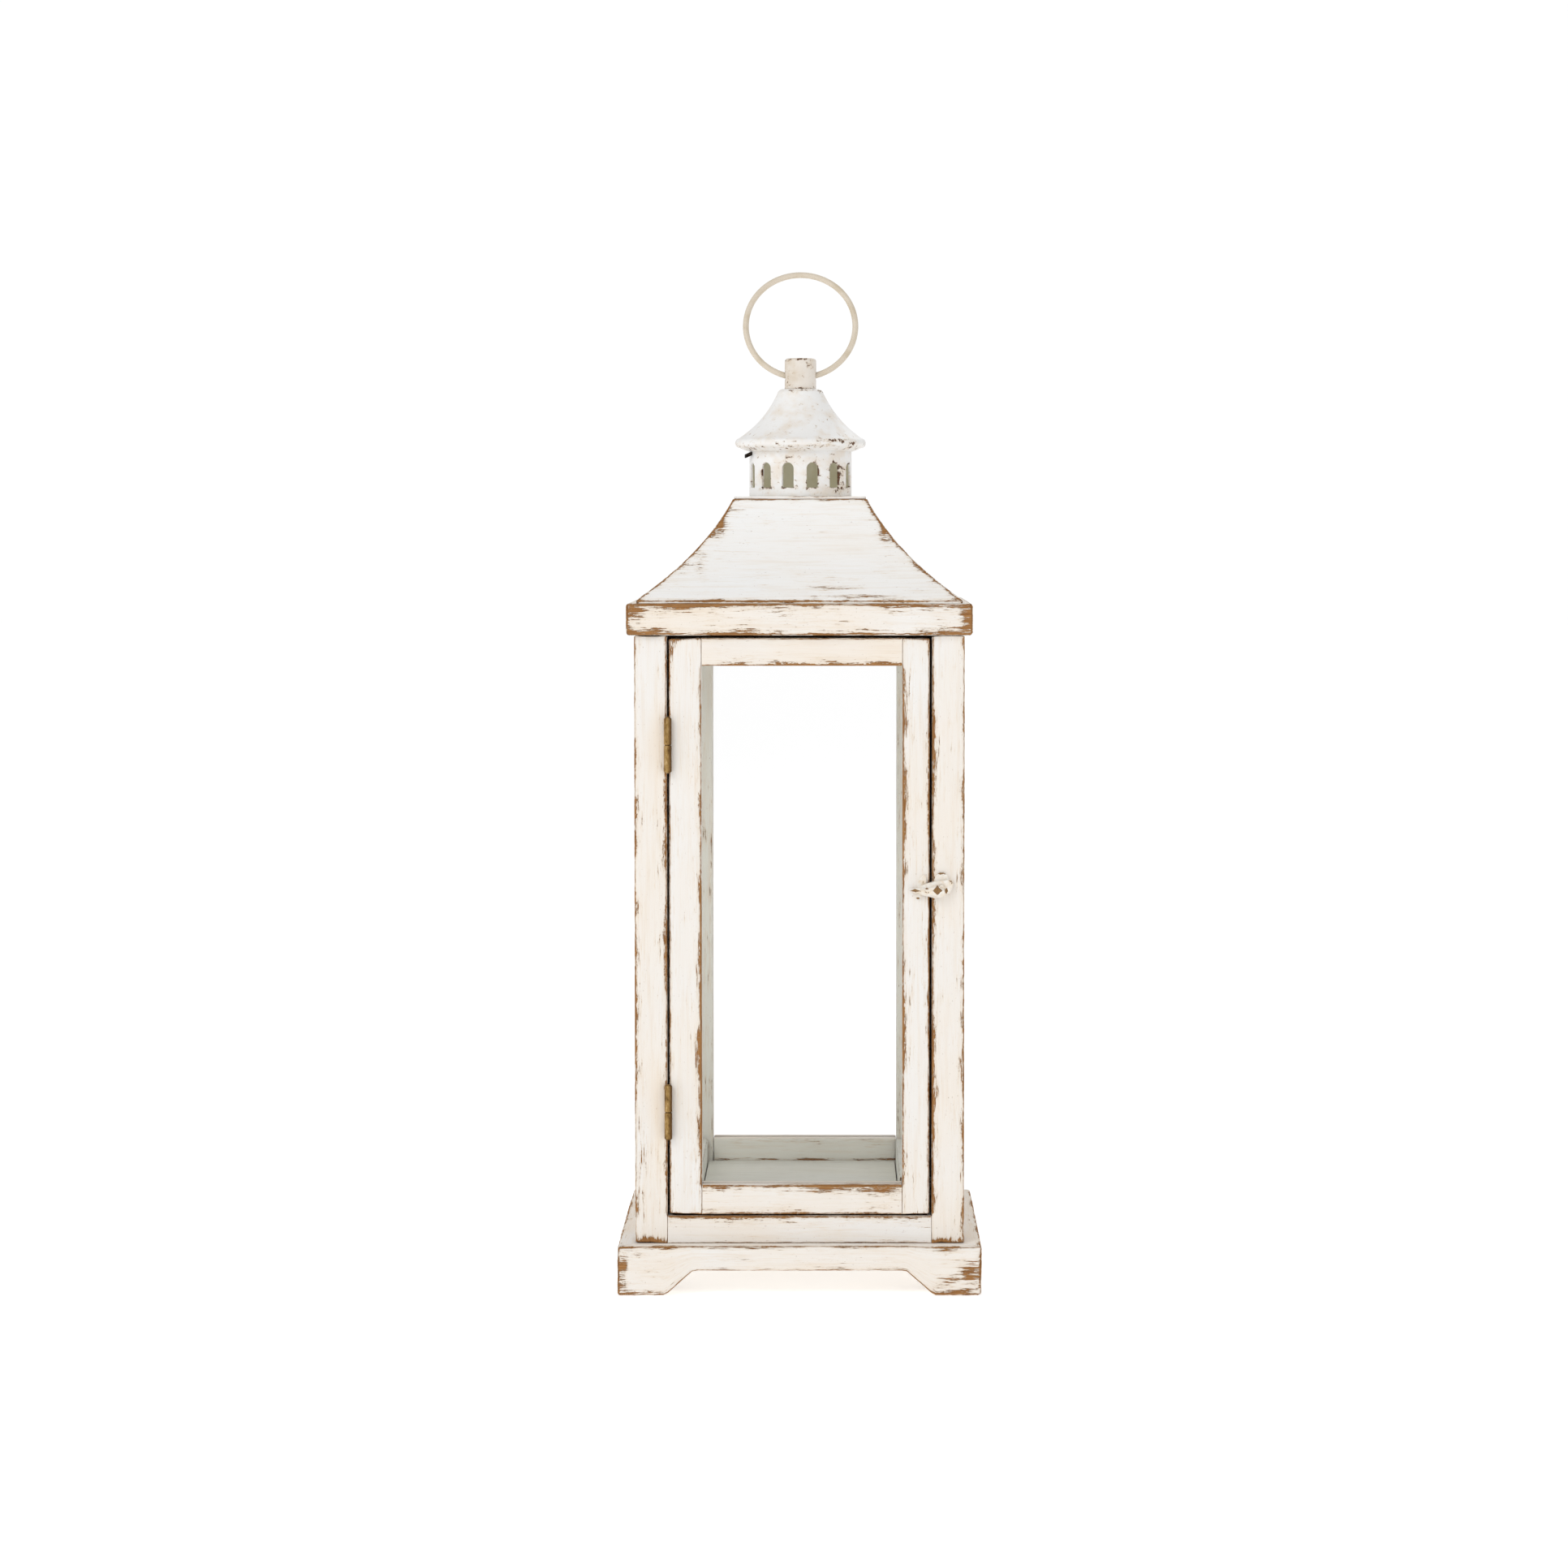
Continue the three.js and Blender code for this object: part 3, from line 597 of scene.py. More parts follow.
def mitred_board(node, side, straight_share, radius, arrises, spots=(), tone=0.5, cut=None, chips=0.5):
    """One of four boards that meet in mitres, made on the front side and then turned.

    Outside, the four share one box with round corners. cut(x) gives the height that the
    lower arris rises to, for feet. spots are in millimetres, on the front side's frame.
    """
    low, high = corners(node)
    half = float(np.abs(np.array([low[:2], high[:2]])).max())
    width = float((high - low)[:2].min())
    bottom, top = low[Z], high[Z]
    radius *= MM
    straight = straight_share * (half - width)
    section = box_outline((half - width, bottom), (half, top), radius, 3 * MM)
    line = [*spaced(-half, half, radius, 2.5 * MM), -straight, straight]
    stations = np.array(sorted(set(round(v, 7) for v in line)))
    across = np.broadcast_to(section[None, :, 0], (len(stations), len(section)))
    along = np.broadcast_to(stations[:, None], across.shape)
    squeeze = (across - straight) / (half - straight)
    past = np.abs(along) - straight
    x = np.where(past <= 0, along, np.sign(along) * (straight + past * squeeze))
    height = np.broadcast_to(section[None, :, 1], across.shape)
    points = np.stack([x, -across, height], axis=-1).reshape(-1, 3)

    planes = {
        "x-": points[:, X] + half, "x+": half - points[:, X], "y-": half + points[:, Y],
        "z-": points[:, Z] - bottom, "z+": top - points[:, Z],
    }
    reach = [
        np.abs(distance) / arrises.get(key, 1.0)
        for key, distance in planes.items()
    ]
    reach = np.sort(np.array(reach), axis=0)
    edge = np.where(reach[0] < 1e-7, reach[1], reach[0])

    seed = seeded(node)
    box_low, box_high = np.array([-half, -half, bottom]), np.array([half, half, top])
    moved = rounded(points, box_low, box_high, radius, chips * MM, seed)
    if cut:
        rise = np.array([cut(abs(p)) for p in moved[:, X]])
        share = (moved[:, Z] - bottom) / (top - bottom)
        moved[:, Z] = bottom + rise + share * (top - bottom - rise)
    attributes = wood_attributes(points + grain_shift(seed), edge, spots_in_mm(moved, spots), tone)
    faces = ring_faces(len(stations), len(section))
    return finish_piece(node + "_wood", turned(moved, side), faces, [node], attributes)


# ---------- posts, rails, stiles and boards ----------
def posts():
    """Post arrises next to the cornice and the plinth stay painted on top and wear below."""
    rail_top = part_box("front_rail")[1].z
    wear = {
        "post_front_left": [((0.5, 0.0, 0.0), (9, 20, 3.2), 1.35), ((0.0, 0.0, 0.42), (2.5, 9, 30), 0.45),
                            ((0.3, 0.0, 0.15), (3, 9, 26), 0.55), ((0.85, 0.0, 0.62), (2, 9, 24), 0.3)],
        "post_front_right": [((0.0, 0.0, 0.22), (2.5, 9, 36), 0.5), ((1.0, 0.0, 0.30), (2, 9, 24), 0.55),
                             ((0.3, 0.0, 0.0), (8, 20, 3.0), 0.9), ((0.0, 0.0, 0.83), (3, 9, 16), 0.4)],
        "post_back_left": [((0.5, 1.0, 0.0), (9, 9, 6), 0.7), ((0.0, 0.5, 0.5), (6, 3, 40), 0.3)],
        "post_back_right": [((0.5, 1.0, 0.0), (9, 9, 7), 0.7), ((1.0, 0.4, 0.4), (6, 3, 40), 0.4)],
    }
    gap_side = {"post_front_left": "x+", "post_front_right": "x-"}
    by_hinges = [((0.75, 0.0, 0.83), (5, 9, 22), 0.9), ((0.75, 0.0, 0.2), (5, 9, 24), 0.9)]
    for node, spots in wear.items():
        face = gap_side.get(node)
        board(node, Z, radius=1.1, arrises={"z+": 0, "z-": 0.8}, spots=spots, tone=0.3, chips=0.5,
              stains=by_hinges if node == "post_front_left" else (),
              gap_shade=(face,) if face else (), free=(face, rail_top, 1.0) if face else None)


def door_frame():
    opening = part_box("door_rail_bottom")[1].z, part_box("door_rail_top")[0].z
    stile = {"z-": 0.8, "z+": 0.8, "y+": 0.5}
    framed = dict(pane="door_pane", inside="y+")
    board("door_stile_hinge", Z, arrises={**stile, "x-": 0.5}, tone=0.3, **framed, chips=0.4,
          gap_shade=("x-", "z-", "z+"), free=("x+", *opening),
          spots=[((1.0, 0.0, 0.25), (1.6, 9, 50), 0.75), ((1.0, 0.0, 0.47), (1.4, 9, 30), 0.45),
                 ((0.05, 0.0, 0.97), (2, 9, 12), 0.4)])
    board("door_stile_latch", Z, arrises={**stile, "x+": 0.6}, tone=0.3, **framed, chips=0.4,
          gap_shade=("x+", "z-", "z+"), free=("x-", *opening),
          spots=[((0.0, 0.0, 0.78), (1.4, 9, 60), 0.5), ((0.2, 0.0, 0.90), (2, 9, 18), 0.55),
                 ((0.0, 0.0, 0.3), (1.2, 9, 60), 0.35), ((1.0, 0.0, 0.45), (1.6, 9, 40), 0.4)])
    rail = {"x-": 0, "x+": 0, "y+": 0.5}
    board("door_rail_top", X, arrises={**rail, "z+": 0.5}, tone=0.55, **framed, chips=0.3,
          gap_shade=("z+",), joints=("x-", "x+"),
          spots=[((0.62, 0.0, 0.0), (34, 9, 1.4), 0.5), ((0.15, 0.0, 0.02), (12, 9, 1.2), 0.5)])
    board("door_rail_bottom", X, arrises={**rail, "z-": 0.8}, tone=0.6, **framed, chips=0.4,
          gap_shade=("z-",), joints=("x-", "x+"),
          spots=[((0.72, 0.0, 0.97), (36, 9, 2.0), 0.85), ((0.93, 0.0, 0.5), (12, 9, 3), 0.45),
                 ((0.1, 0.0, 0.97), (12, 9, 1.2), 0.5), ((0.3, 0.0, 0.05), (30, 9, 1.6), 0.3)])
    board("front_rail", X, arrises={"x-": 0, "x+": 0, "z-": 0.35}, tone=0.35, chips=0.35,
          gap_shade=("z+",), joints=("x-", "x+"),
          spots=[((0.3, 0.0, 1.0), (26, 9, 1.4), 0.55), ((0.9, 0.0, 0.9), (16, 9, 1.4), 0.45)])


FLOOR_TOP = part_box("floor_board")[1].z


def fixed_panels():
    """The three glazed sides: outer faces white, faces turned to the candle in the paint's greener inner
    colour, which is painted shade.
    """
    inward = {"right": "x-", "back": "y-", "left": "x+"}
    outward = {"right": "x+", "back": "y+", "left": "x-"}
    axis_of = {"right": Y, "back": X, "left": Y}
    for side, along in axis_of.items():
        low_end, high_end = ("x-", "x+") if along == X else ("y-", "y+")
        face = inward[side]
        pane = f"{side}_pane"
        for i, part in enumerate(("stile_a", "stile_b")):
            board(f"{side}_{part}", Z, arrises={"z-": 0.5, "z+": 0, face: 0, outward[side]: 0.4},
                  tone=0.35, pane=pane, inside=face,
                  spots=[((0.5, 0.5, 0.25 + 0.4 * i), (9, 9, 30), 0.35)])
        ends = {low_end: 0, high_end: 0, face: 0, outward[side]: 0.4}
        board(f"{side}_rail_top", along, arrises={**ends, "z+": 0}, tone=0.6, pane=pane, inside=face)
        outer = 1.0 if face.endswith("-") else 0.0
        low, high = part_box(f"{side}_rail_bottom")
        across = "xyz".index(face[0])
        seam = (FLOOR_TOP + 0.5 * MM - low.z) / (high.z - low.z)
        worn_place, seam_place = [0.5, 0.5, 1.0], [0.5, 0.5, seam]
        worn_place[across], seam_place[across] = outer, 1.0 - outer
        board(f"{side}_rail_bottom", along, arrises={**ends, "z-": 0.4}, tone=0.6, pane=pane, inside=face,
              rows=0.8,
              spots=[(worn_place, (30, 2, 2) if along == X else (2, 30, 2), 0.25),
                     (seam_place, (90, 3, 0.6) if along == X else (3, 90, 0.6), 1.25)])


def floor_and_hidden_boards():
    quiet = dict(tone=0.4, chips=0.1)
    slight = {axis + end: 0.3 for axis in "xyz" for end in "-+"}
    board("floor_board", X, radius=0.8, arrises=slight, **quiet)
    for name in ("left", "right"):
        board(f"floor_cleat_{name}", Y, radius=0.8, arrises={k: 0.3 for k in ("x-", "x+", "z+")}, **quiet)
        board(f"floor_batten_{name}", Y, radius=0.8, arrises={"x-": 0.3, "x+": 0.3}, **quiet)
    board("plinth_inner_board", X, radius=0.8, arrises={"z+": 0.2}, tone=0.5, chips=0.1)


def door_stop():
    """A flat frame, open at the bottom, that the shut door meets; its front, seen through the gaps round
    the door, is painted near-black as painted shade.
    """
    (x0, y0, z0), (x1, y1, z1) = (tuple(c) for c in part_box("door_stop"))
    vertices = frame["nodes"]["door_stop"].data.vertices
    outline = [(v.co.x, v.co.z) for v in vertices if abs(v.co.y - y0) < 0.01 * MM]
    inner = max(x for x, z in outline if x < x1 - 1 * MM)
    lintel = min(z for x, z in outline if z > z0 + 1 * MM)
    steps = np.linspace(0, 1, 60)
    left = [((x0, z0 + (z1 - z0) * t), (-inner, z0 + (lintel - z0) * t)) for t in steps]
    top = [((x0 + (x1 - x0) * t, z1), (-inner + 2 * inner * t, lintel)) for t in steps[1:]]
    right = [((x1, z1 + (z0 - z1) * t), (inner, lintel + (z0 - lintel) * t)) for t in steps[1:]]
    soft = 0.6 * MM
    points, gap_shade, edge, grain = [], [], [], []
    for number, (outer, near) in enumerate(left + top + right):
        outer, near = np.array(outer), np.array(near)
        inward = (near - outer) / np.linalg.norm(near - outer)
        loop = [
            (outer, y0, 1), (near - inward * soft, y0, 1), (near, y0 + soft, 0), (near, y1 - soft, 0),
            (near - inward * soft, y1, 0), (outer, y1, 0),
        ]
        for place, y, is_front in loop:
            points.append((place[0], y, place[1]))
            gap_shade.append(is_front)
            edge.append(3 * MM)
            grain.append((number * 5 * MM, y, np.linalg.norm(place - outer)))
    gap_shade = np.array(gap_shade, float)
    attributes = wood_attributes(np.array(grain), np.array(edge), tone=0.4, inside=1.0, gap_shade=gap_shade)
    faces = ring_faces(len(points) // len(loop), len(loop))
    finish_piece("door_stop_wood", np.array(points), faces, ["door_stop"], attributes)


# ---------- plinth and cornice ----------
def corner_points(node, height):
    """Distances from the middle, along X, of a node's own points at one height."""
    xs = [abs(v.co.x) for v in frame["nodes"][node].data.vertices if abs(v.co.z - height) < 0.05 * MM]
    return min(xs), max(xs)


def plinth():
    heights = sorted({round(v.co.z, 5) for v in frame["nodes"]["plinth_front"].data.vertices})
    apron = heights[1]
    foot_end = corner_points("plinth_front", heights[0])[0]
    arch_end = corner_points("plinth_front", apron)[1]

    def rise(x):
        return apron * float(np.clip((foot_end - x) / (foot_end - arch_end), 0, 1))

    spots = {
        "front": [((0, -95, 14), (95, 6, 14), 0.2), ((87, -95, 12), (6, 6, 7), 0.95),
                  ((74, -95, 4), (8, 6, 3), 0.6), ((80, -95, 8), (8, 6, 4), 0.8),
                  ((75, -95, 23.5), (9, 6, 1.5), 0.9), ((-92, -95, 14), (2.5, 6, 12), 0.8),
                  ((-84, -95, 22), (8, 6, 2.5), 0.5), ((-80, -95, 2), (12, 6, 1.3), 0.7),
                  ((80, -95, 2), (12, 6, 1.4), 0.8), ((-30, -95, 25), (26, 6, 1.2), 0.4),
                  ((40, -95, 14), (10, 6, 1.2), 0.35)],
        "right": [((-88, -95, 15), (6, 6, 8), 0.8), ((30, -95, 24), (26, 6, 1.5), 0.5)],
        "back": [((60, -95, 22), (20, 6, 2), 0.6), ((-85, -95, 8), (9, 6, 6), 0.8)],
        "left": [((80, -95, 18), (9, 6, 4), 0.6), ((-20, -95, 24), (26, 6, 1.4), 0.5)],
    }
    for side, places in spots.items():
        mitred_board(f"plinth_{side}", side, 0.92, 1.6, {"z+": 0.8, "z-": 0.8, "x-": 1.3, "x+": 1.3},
                     places, tone=0.4, cut=rise, chips=0.6)


def cornice():
    spots = {
        "front": [((0, -90, 353), (90, 6, 10), 0.24), ((-84, -90, 357), (6, 6, 4.0), 0.95),
                  ((-72, -90, 356.5), (10, 6, 2.4), 0.7),
                  ((-46, -90, 360.3), (40, 6, 1.4), 1.15), ((-80, -90, 345.5), (15, 6, 1.8), 0.8),
                  ((87, -90, 352), (4.5, 6, 9), 0.85), ((78, -90, 358), (9, 6, 1.8), 0.8),
                  ((76, -90, 346), (15, 6, 1.6), 0.8), ((-35, -90, 345), (12, 6, 1.0), 0.8),
                  ((30, -90, 344.8), (32, 6, 0.9), 0.65), ((48, -90, 359.8), (34, 6, 1.0), 0.55)],
        "right": [((-80, -90, 358), (14, 6, 2), 0.7), ((40, -90, 346), (30, 6, 1.4), 0.5)],
        "back": [((70, -90, 358), (20, 6, 2), 0.8), ((-60, -90, 346), (24, 6, 1.6), 0.6)],
        "left": [((84, -90, 357), (9, 6, 3), 0.8), ((-10, -90, 359.5), (34, 6, 1.2), 0.6)],
    }
    for side, places in spots.items():
        mitred_board(f"cornice_{side}", side, 0.9, 1.5, {"z+": 1.0, "z-": 0.9, "x-": 1.2, "x+": 1.2},
                     places, tone=0.5, chips=0.7)


# ---------- roof ----------
ROOF_LIP_TOP = 362.4 * MM
ROOF_WAIST = (51.3 * MM, 385.5 * MM)
ROOF_TOP_HALF = 35.6 * MM
ROOF_THICK = 3.0 * MM


def roof_profile(foot, lip_half, top):
    """Outer face from foot to top, then the inner face back down, as (half-width, height),
    with the distance along the outer face to its lower and upper arris."""
    t = np.linspace(0, 1, 49)[:, None]
    start, end = np.array([lip_half, ROOF_LIP_TOP]), np.array([ROOF_TOP_HALF, top])
    waist = np.array(ROOF_WAIST)
    curve = (1 - t) ** 2 * start + 2 * t * (1 - t) * waist + t ** 2 * end
    slope = 2 * (1 - t) * (waist - start) + 2 * t * (end - waist)
    slope /= np.linalg.norm(slope, axis=1)[:, None]
    inner = curve + np.stack([-slope[:, 1], slope[:, 0]], axis=1) * ROOF_THICK
    inner = inner[inner[:, 1] > foot + 0.5 * MM]
    inner[-1, 1] = top
    lip = np.array([[lip_half, foot], [lip_half, foot + 0.3 * MM], [lip_half, foot + 1.2 * MM]])
    outer = np.concatenate([lip, curve[1:]])
    back = np.concatenate([inner[::-3], [[lip_half - 1.4 * ROOF_THICK, foot]]])
    outer_length = np.concatenate([[0], np.cumsum(np.linalg.norm(np.diff(outer, axis=0), axis=1))])
    low_edge = np.concatenate([np.abs(outer_length - outer_length[2]), np.full(len(back), 0.02)])
    high_edge = np.concatenate([outer_length[-1] - outer_length, np.full(len(back), 0.02)])
    return np.concatenate([outer, back]), low_edge, high_edge, len(outer)


def roof():
    spots = {
        "front": [((16, -77, 368.6), (15, 9, 1.1), 0.8), ((30, -81, 364.2), (24, 9, 0.8), 0.85),
                  ((-26, -84, 361.8), (34, 6, 0.8), 0.6), ((-52, -62, 378), (3, 9, 14), 0.5),
                  ((44, -44, 400), (3, 12, 12), 0.8), ((-42, -44, 402), (3, 12, 9), 0.8),
                  ((8, -68, 374), (34, 9, 6), 0.12)],
        "right": [((-30, -70, 372), (30, 9, 1.8), 0.55), ((40, -82, 363.5), (26, 9, 1.4), 0.6)],
        "back": [((10, -80, 364), (34, 9, 1.4), 0.65), ((-30, -56, 388), (14, 9, 2), 0.35)],
        "left": [((34, -76, 367), (26, 9, 1.6), 0.6)],
    }
    for side, places in spots.items():
        node = f"roof_{side}"
        low, high = corners(node)
        lip_half = float(np.abs(np.array([low[:2], high[:2]])).max())
        profile, low_edge, high_edge, outside = roof_profile(low[Z], lip_half, high[Z])
        near = np.array([0, 0.35, 0.8, 1.5, 2.6, 4.5, 7.5]) / 60
        shares = np.concatenate([1 - near, np.linspace(1 - near[-1], 0, 26)[1:]])
        shares = np.concatenate([-shares, shares[::-1][1:]])
        reach = np.broadcast_to(profile[None, :, 0], (len(shares), len(profile)))
        height = np.broadcast_to(profile[None, :, 1], reach.shape)
        x = shares[:, None] * (reach - 0.05 * MM)
        hip = (reach - np.abs(x)).ravel()
        is_outer = np.tile(np.arange(len(profile)) < outside, len(shares))
        points = np.stack([x, -reach, height], axis=-1).reshape(-1, 3)
        edge = np.minimum.reduce([
            hip / 1.9,
            np.tile(low_edge, len(shares)) / 0.55,
            np.tile(high_edge, len(shares)) / 0.5,
        ])
        seed = seeded(node)
        slope = np.gradient(profile, axis=0)
        normal = np.stack([slope[:, 1], -slope[:, 0]], axis=1)
        normal /= np.linalg.norm(normal, axis=1)[:, None]
        sink = 0.7 * MM * np.clip(1 - hip / (1.6 * MM), 0, 1) ** 2
        sink += 0.5 * MM * np.clip(1 - hip / (2.2 * MM), 0, 1) * chip_noise(points, seed)
        sink *= is_outer & (np.tile(low_edge, len(shares)) > 0.6 * MM)
        moved = points.copy()
        moved[:, Y] += sink * np.tile(normal[:, 0], len(shares))
        moved[:, Z] -= sink * np.tile(normal[:, 1], len(shares))
        climb = np.concatenate([[0], np.cumsum(np.linalg.norm(np.diff(profile, axis=0), axis=1))])
        grain = np.stack([points[:, X], np.tile(climb, len(shares)), np.zeros(len(points))], axis=1)
        attributes = wood_attributes(
            grain + grain_shift(seed), edge, spots_in_mm(points, places), 0.25, (~is_outer).astype(float),
        )
        faces = ring_faces(len(shares), len(profile))
        finish_piece(node + "_wood", turned(moved, side), faces, [node], attributes)


def roof_top_plate():
    """A thin square plate with a round hole, as rings that run round it."""
    low, high = corners("roof_top_plate")
    half, hole = high[X], 25 * MM
    around = 160
    angles = (np.arange(around) + 0.5) * 2 * math.pi / around
    circle = np.stack([np.cos(angles), np.sin(angles)], axis=1)
    square = circle / np.abs(circle).max(axis=1)[:, None]
    soft = 0.4 * MM
    loops = [
        (half - 2 * MM, low[Z], 1), (half, low[Z], 1), (half, high[Z] - soft, 1),
        (half - 0.3 * soft, high[Z] - 0.3 * soft, 1), (half - soft, high[Z], 1),
        (half - 3 * MM, high[Z], 1), (hole, high[Z], 0), (hole, low[Z], 0),
    ]
    points, edge = [], []
    for reach, height, is_square in loops:
        ring = (square if is_square else circle) * reach
        points += [(x, y, height) for x, y in ring]
        edge += [max(half - reach, 0) + 2.6 * MM if is_square else 0.01] * around
    points = np.array(points)
    attributes = wood_attributes(points.copy(), np.array(edge), tone=0.2)
    faces = ring_faces(len(loops), around, ends="joined")
    finish_piece("roof_top_plate_painted", points, faces, ["roof_top_plate"], attributes)


posts()
door_frame()
fixed_panels()
floor_and_hidden_boards()
door_stop()
plinth()
cornice()
roof()
roof_top_plate()


# ---------- round metal pieces ----------
def turned_rings(profile, segments, wobble=0.0, seed=0.0):
    """Points of a profile of (radius, height) turned about Z, ring by ring round the axis."""
    angles = np.arange(segments) * 2 * math.pi / segments
    radius = np.array([p[0] for p in profile])[:, None]
    height = np.array([p[1] for p in profile])[:, None]
    x, y = radius * np.cos(angles), radius * np.sin(angles)
    points = np.stack([x, y, np.broadcast_to(height, x.shape)], axis=-1).reshape(-1, 3)
    if wobble:
        out = points * np.array([1, 1, 0])
        out /= np.maximum(np.linalg.norm(out, axis=1), 1e-9)[:, None]
        shift = Vector((seed, seed * 2, seed * 3))
        push = np.array([noise.noise(Vector(p) * 60 + shift) for p in points]) * wobble
        points = points + out * push[:, None]
    return points


def metal_attributes(points, edge, spots=()):
    return {"grain": points.copy(), "edge": edge, "wear": spots_in_mm(points, spots)}


def arc(centre, radius, start, end, count):
    angles = np.radians(np.linspace(start, end, count))
    return [(centre[0] + radius * math.cos(a), centre[1] + radius * math.sin(a)) for a in angles]


def curve_points(a, b, c, count):
    t = np.linspace(0, 1, count)[:, None]
    points = (1 - t) ** 2 * np.array(a) + 2 * t * (1 - t) * np.array(b) + t ** 2 * np.array(c)
    return [tuple(p) for p in points]


SLOTS = 13
SLOT_WIDTH, SLOT_BOTTOM, SLOT_TOP = 6.3 * MM, 421 * MM, 434.3 * MM


def vent_collar():
    """Each slot has a cell of its own: loops that go from the arch out to the cell's border."""
    low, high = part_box("vent_collar")
    radius, thick = high.x, 1.0 * MM
    cell = 2 * math.pi * radius / SLOTS
    half, spring = SLOT_WIDTH / 2, SLOT_TOP - SLOT_WIDTH / 2
    side, flat, crown = 8, 6, 14
    arch = [(-half + 2 * half * i / flat, SLOT_BOTTOM) for i in range(flat)]
    arch += [(half, SLOT_BOTTOM + (spring - SLOT_BOTTOM) * i / side) for i in range(side)]
    arch += arc((0, spring), half, 0, 180, crown + 1)[:-1]
    arch += [(-half, spring - (spring - SLOT_BOTTOM) * i / side) for i in range(side)]
    left, right, bottom, top = -cell / 2, cell / 2, low.z, high.z
    border = [(left + cell * i / flat, bottom) for i in range(flat)]
    border += [(right, bottom + (top - bottom) * i / side) for i in range(side)]
    border += [(right - cell * i / crown, top) for i in range(crown)]
    border += [(left, top - (top - bottom) * i / side) for i in range(side)]
    arch, border = np.array(arch), np.array(border)
    loops = [0.0, 0.06, 0.16, 0.35, 0.6, 1.0]
    flat_points, faces, edge = [], [], []
    count = len(arch)
    for number in range(SLOTS):
        first = len(flat_points)
        for share in loops:
            ring = arch + (border - arch) * share
            flat_points += [(s + number * cell, z) for s, z in ring]
            edge += list(np.linalg.norm(ring - arch, axis=1))
        cell_faces = ring_faces(len(loops), count, ends="open")
        faces += [tuple(first + corner for corner in quad) for quad in cell_faces]
    # The middle of slot number 0 stands half a step round from the front.
    start = -math.pi / 2 + math.pi / SLOTS
    points = np.array([
        (radius * math.cos(start + s / radius), radius * math.sin(start + s / radius), z)
        for s, z in flat_points
    ])
    spots = [((18.2, -20.6, 431), (4, 5, 5), 0.6), ((21.7, -16.9, 427), (3, 4, 6), 0.65),
             ((21.2, -17.5, 420.2), (4, 5, 2), 0.6), ((8.6, -26, 428), (1.8, 4, 6), 0.5),
             ((-21.3, -17.4, 429), (2, 4, 2.5), 0.6), ((-17, -21, 421.2), (8, 6, 1.5), 0.6),
             ((0, -27, 421), (16, 5, 1.1), 0.45), ((-4, -27, 421), (5, 4, 1.2), 0.35),
             ((-8, -26, 437), (7, 5, 1.5), 0.3), ((26, 6, 424), (4, 8, 7), 0.5)]
    edge = np.array(edge)
    edge = np.minimum(edge, np.abs(points[:, Z] - high.z) + 0.6 * MM)
    attributes = metal_attributes(points, edge, spots)
    piece = finish_piece("vent_collar_metal", points, faces, ["vent_collar"], attributes)
    made = bmesh.new()
    made.from_mesh(piece.data)
    bmesh.ops.remove_doubles(made, verts=made.verts, dist=0.01 * MM)
    bmesh.ops.recalc_face_normals(made, faces=made.faces)
    middle = sum((f.calc_center_median() for f in made.faces), Vector()) / len(made.faces)
    level = Vector((1, 1, 0))
    outward = sum(f.normal.dot((f.calc_center_median() - middle) * level) for f in made.faces)
    if outward < 0:
        bmesh.ops.reverse_faces(made, faces=made.faces)
    made.to_mesh(piece.data)
    made.free()
    shell = piece.modifiers.new("wall", "SOLIDIFY")
    shell.thickness = thick
    shell.offset = -1
    piece.data.materials.append(VENT_INSIDE)
    shell.material_offset = 1
    piece.modifiers.move(1, 0)


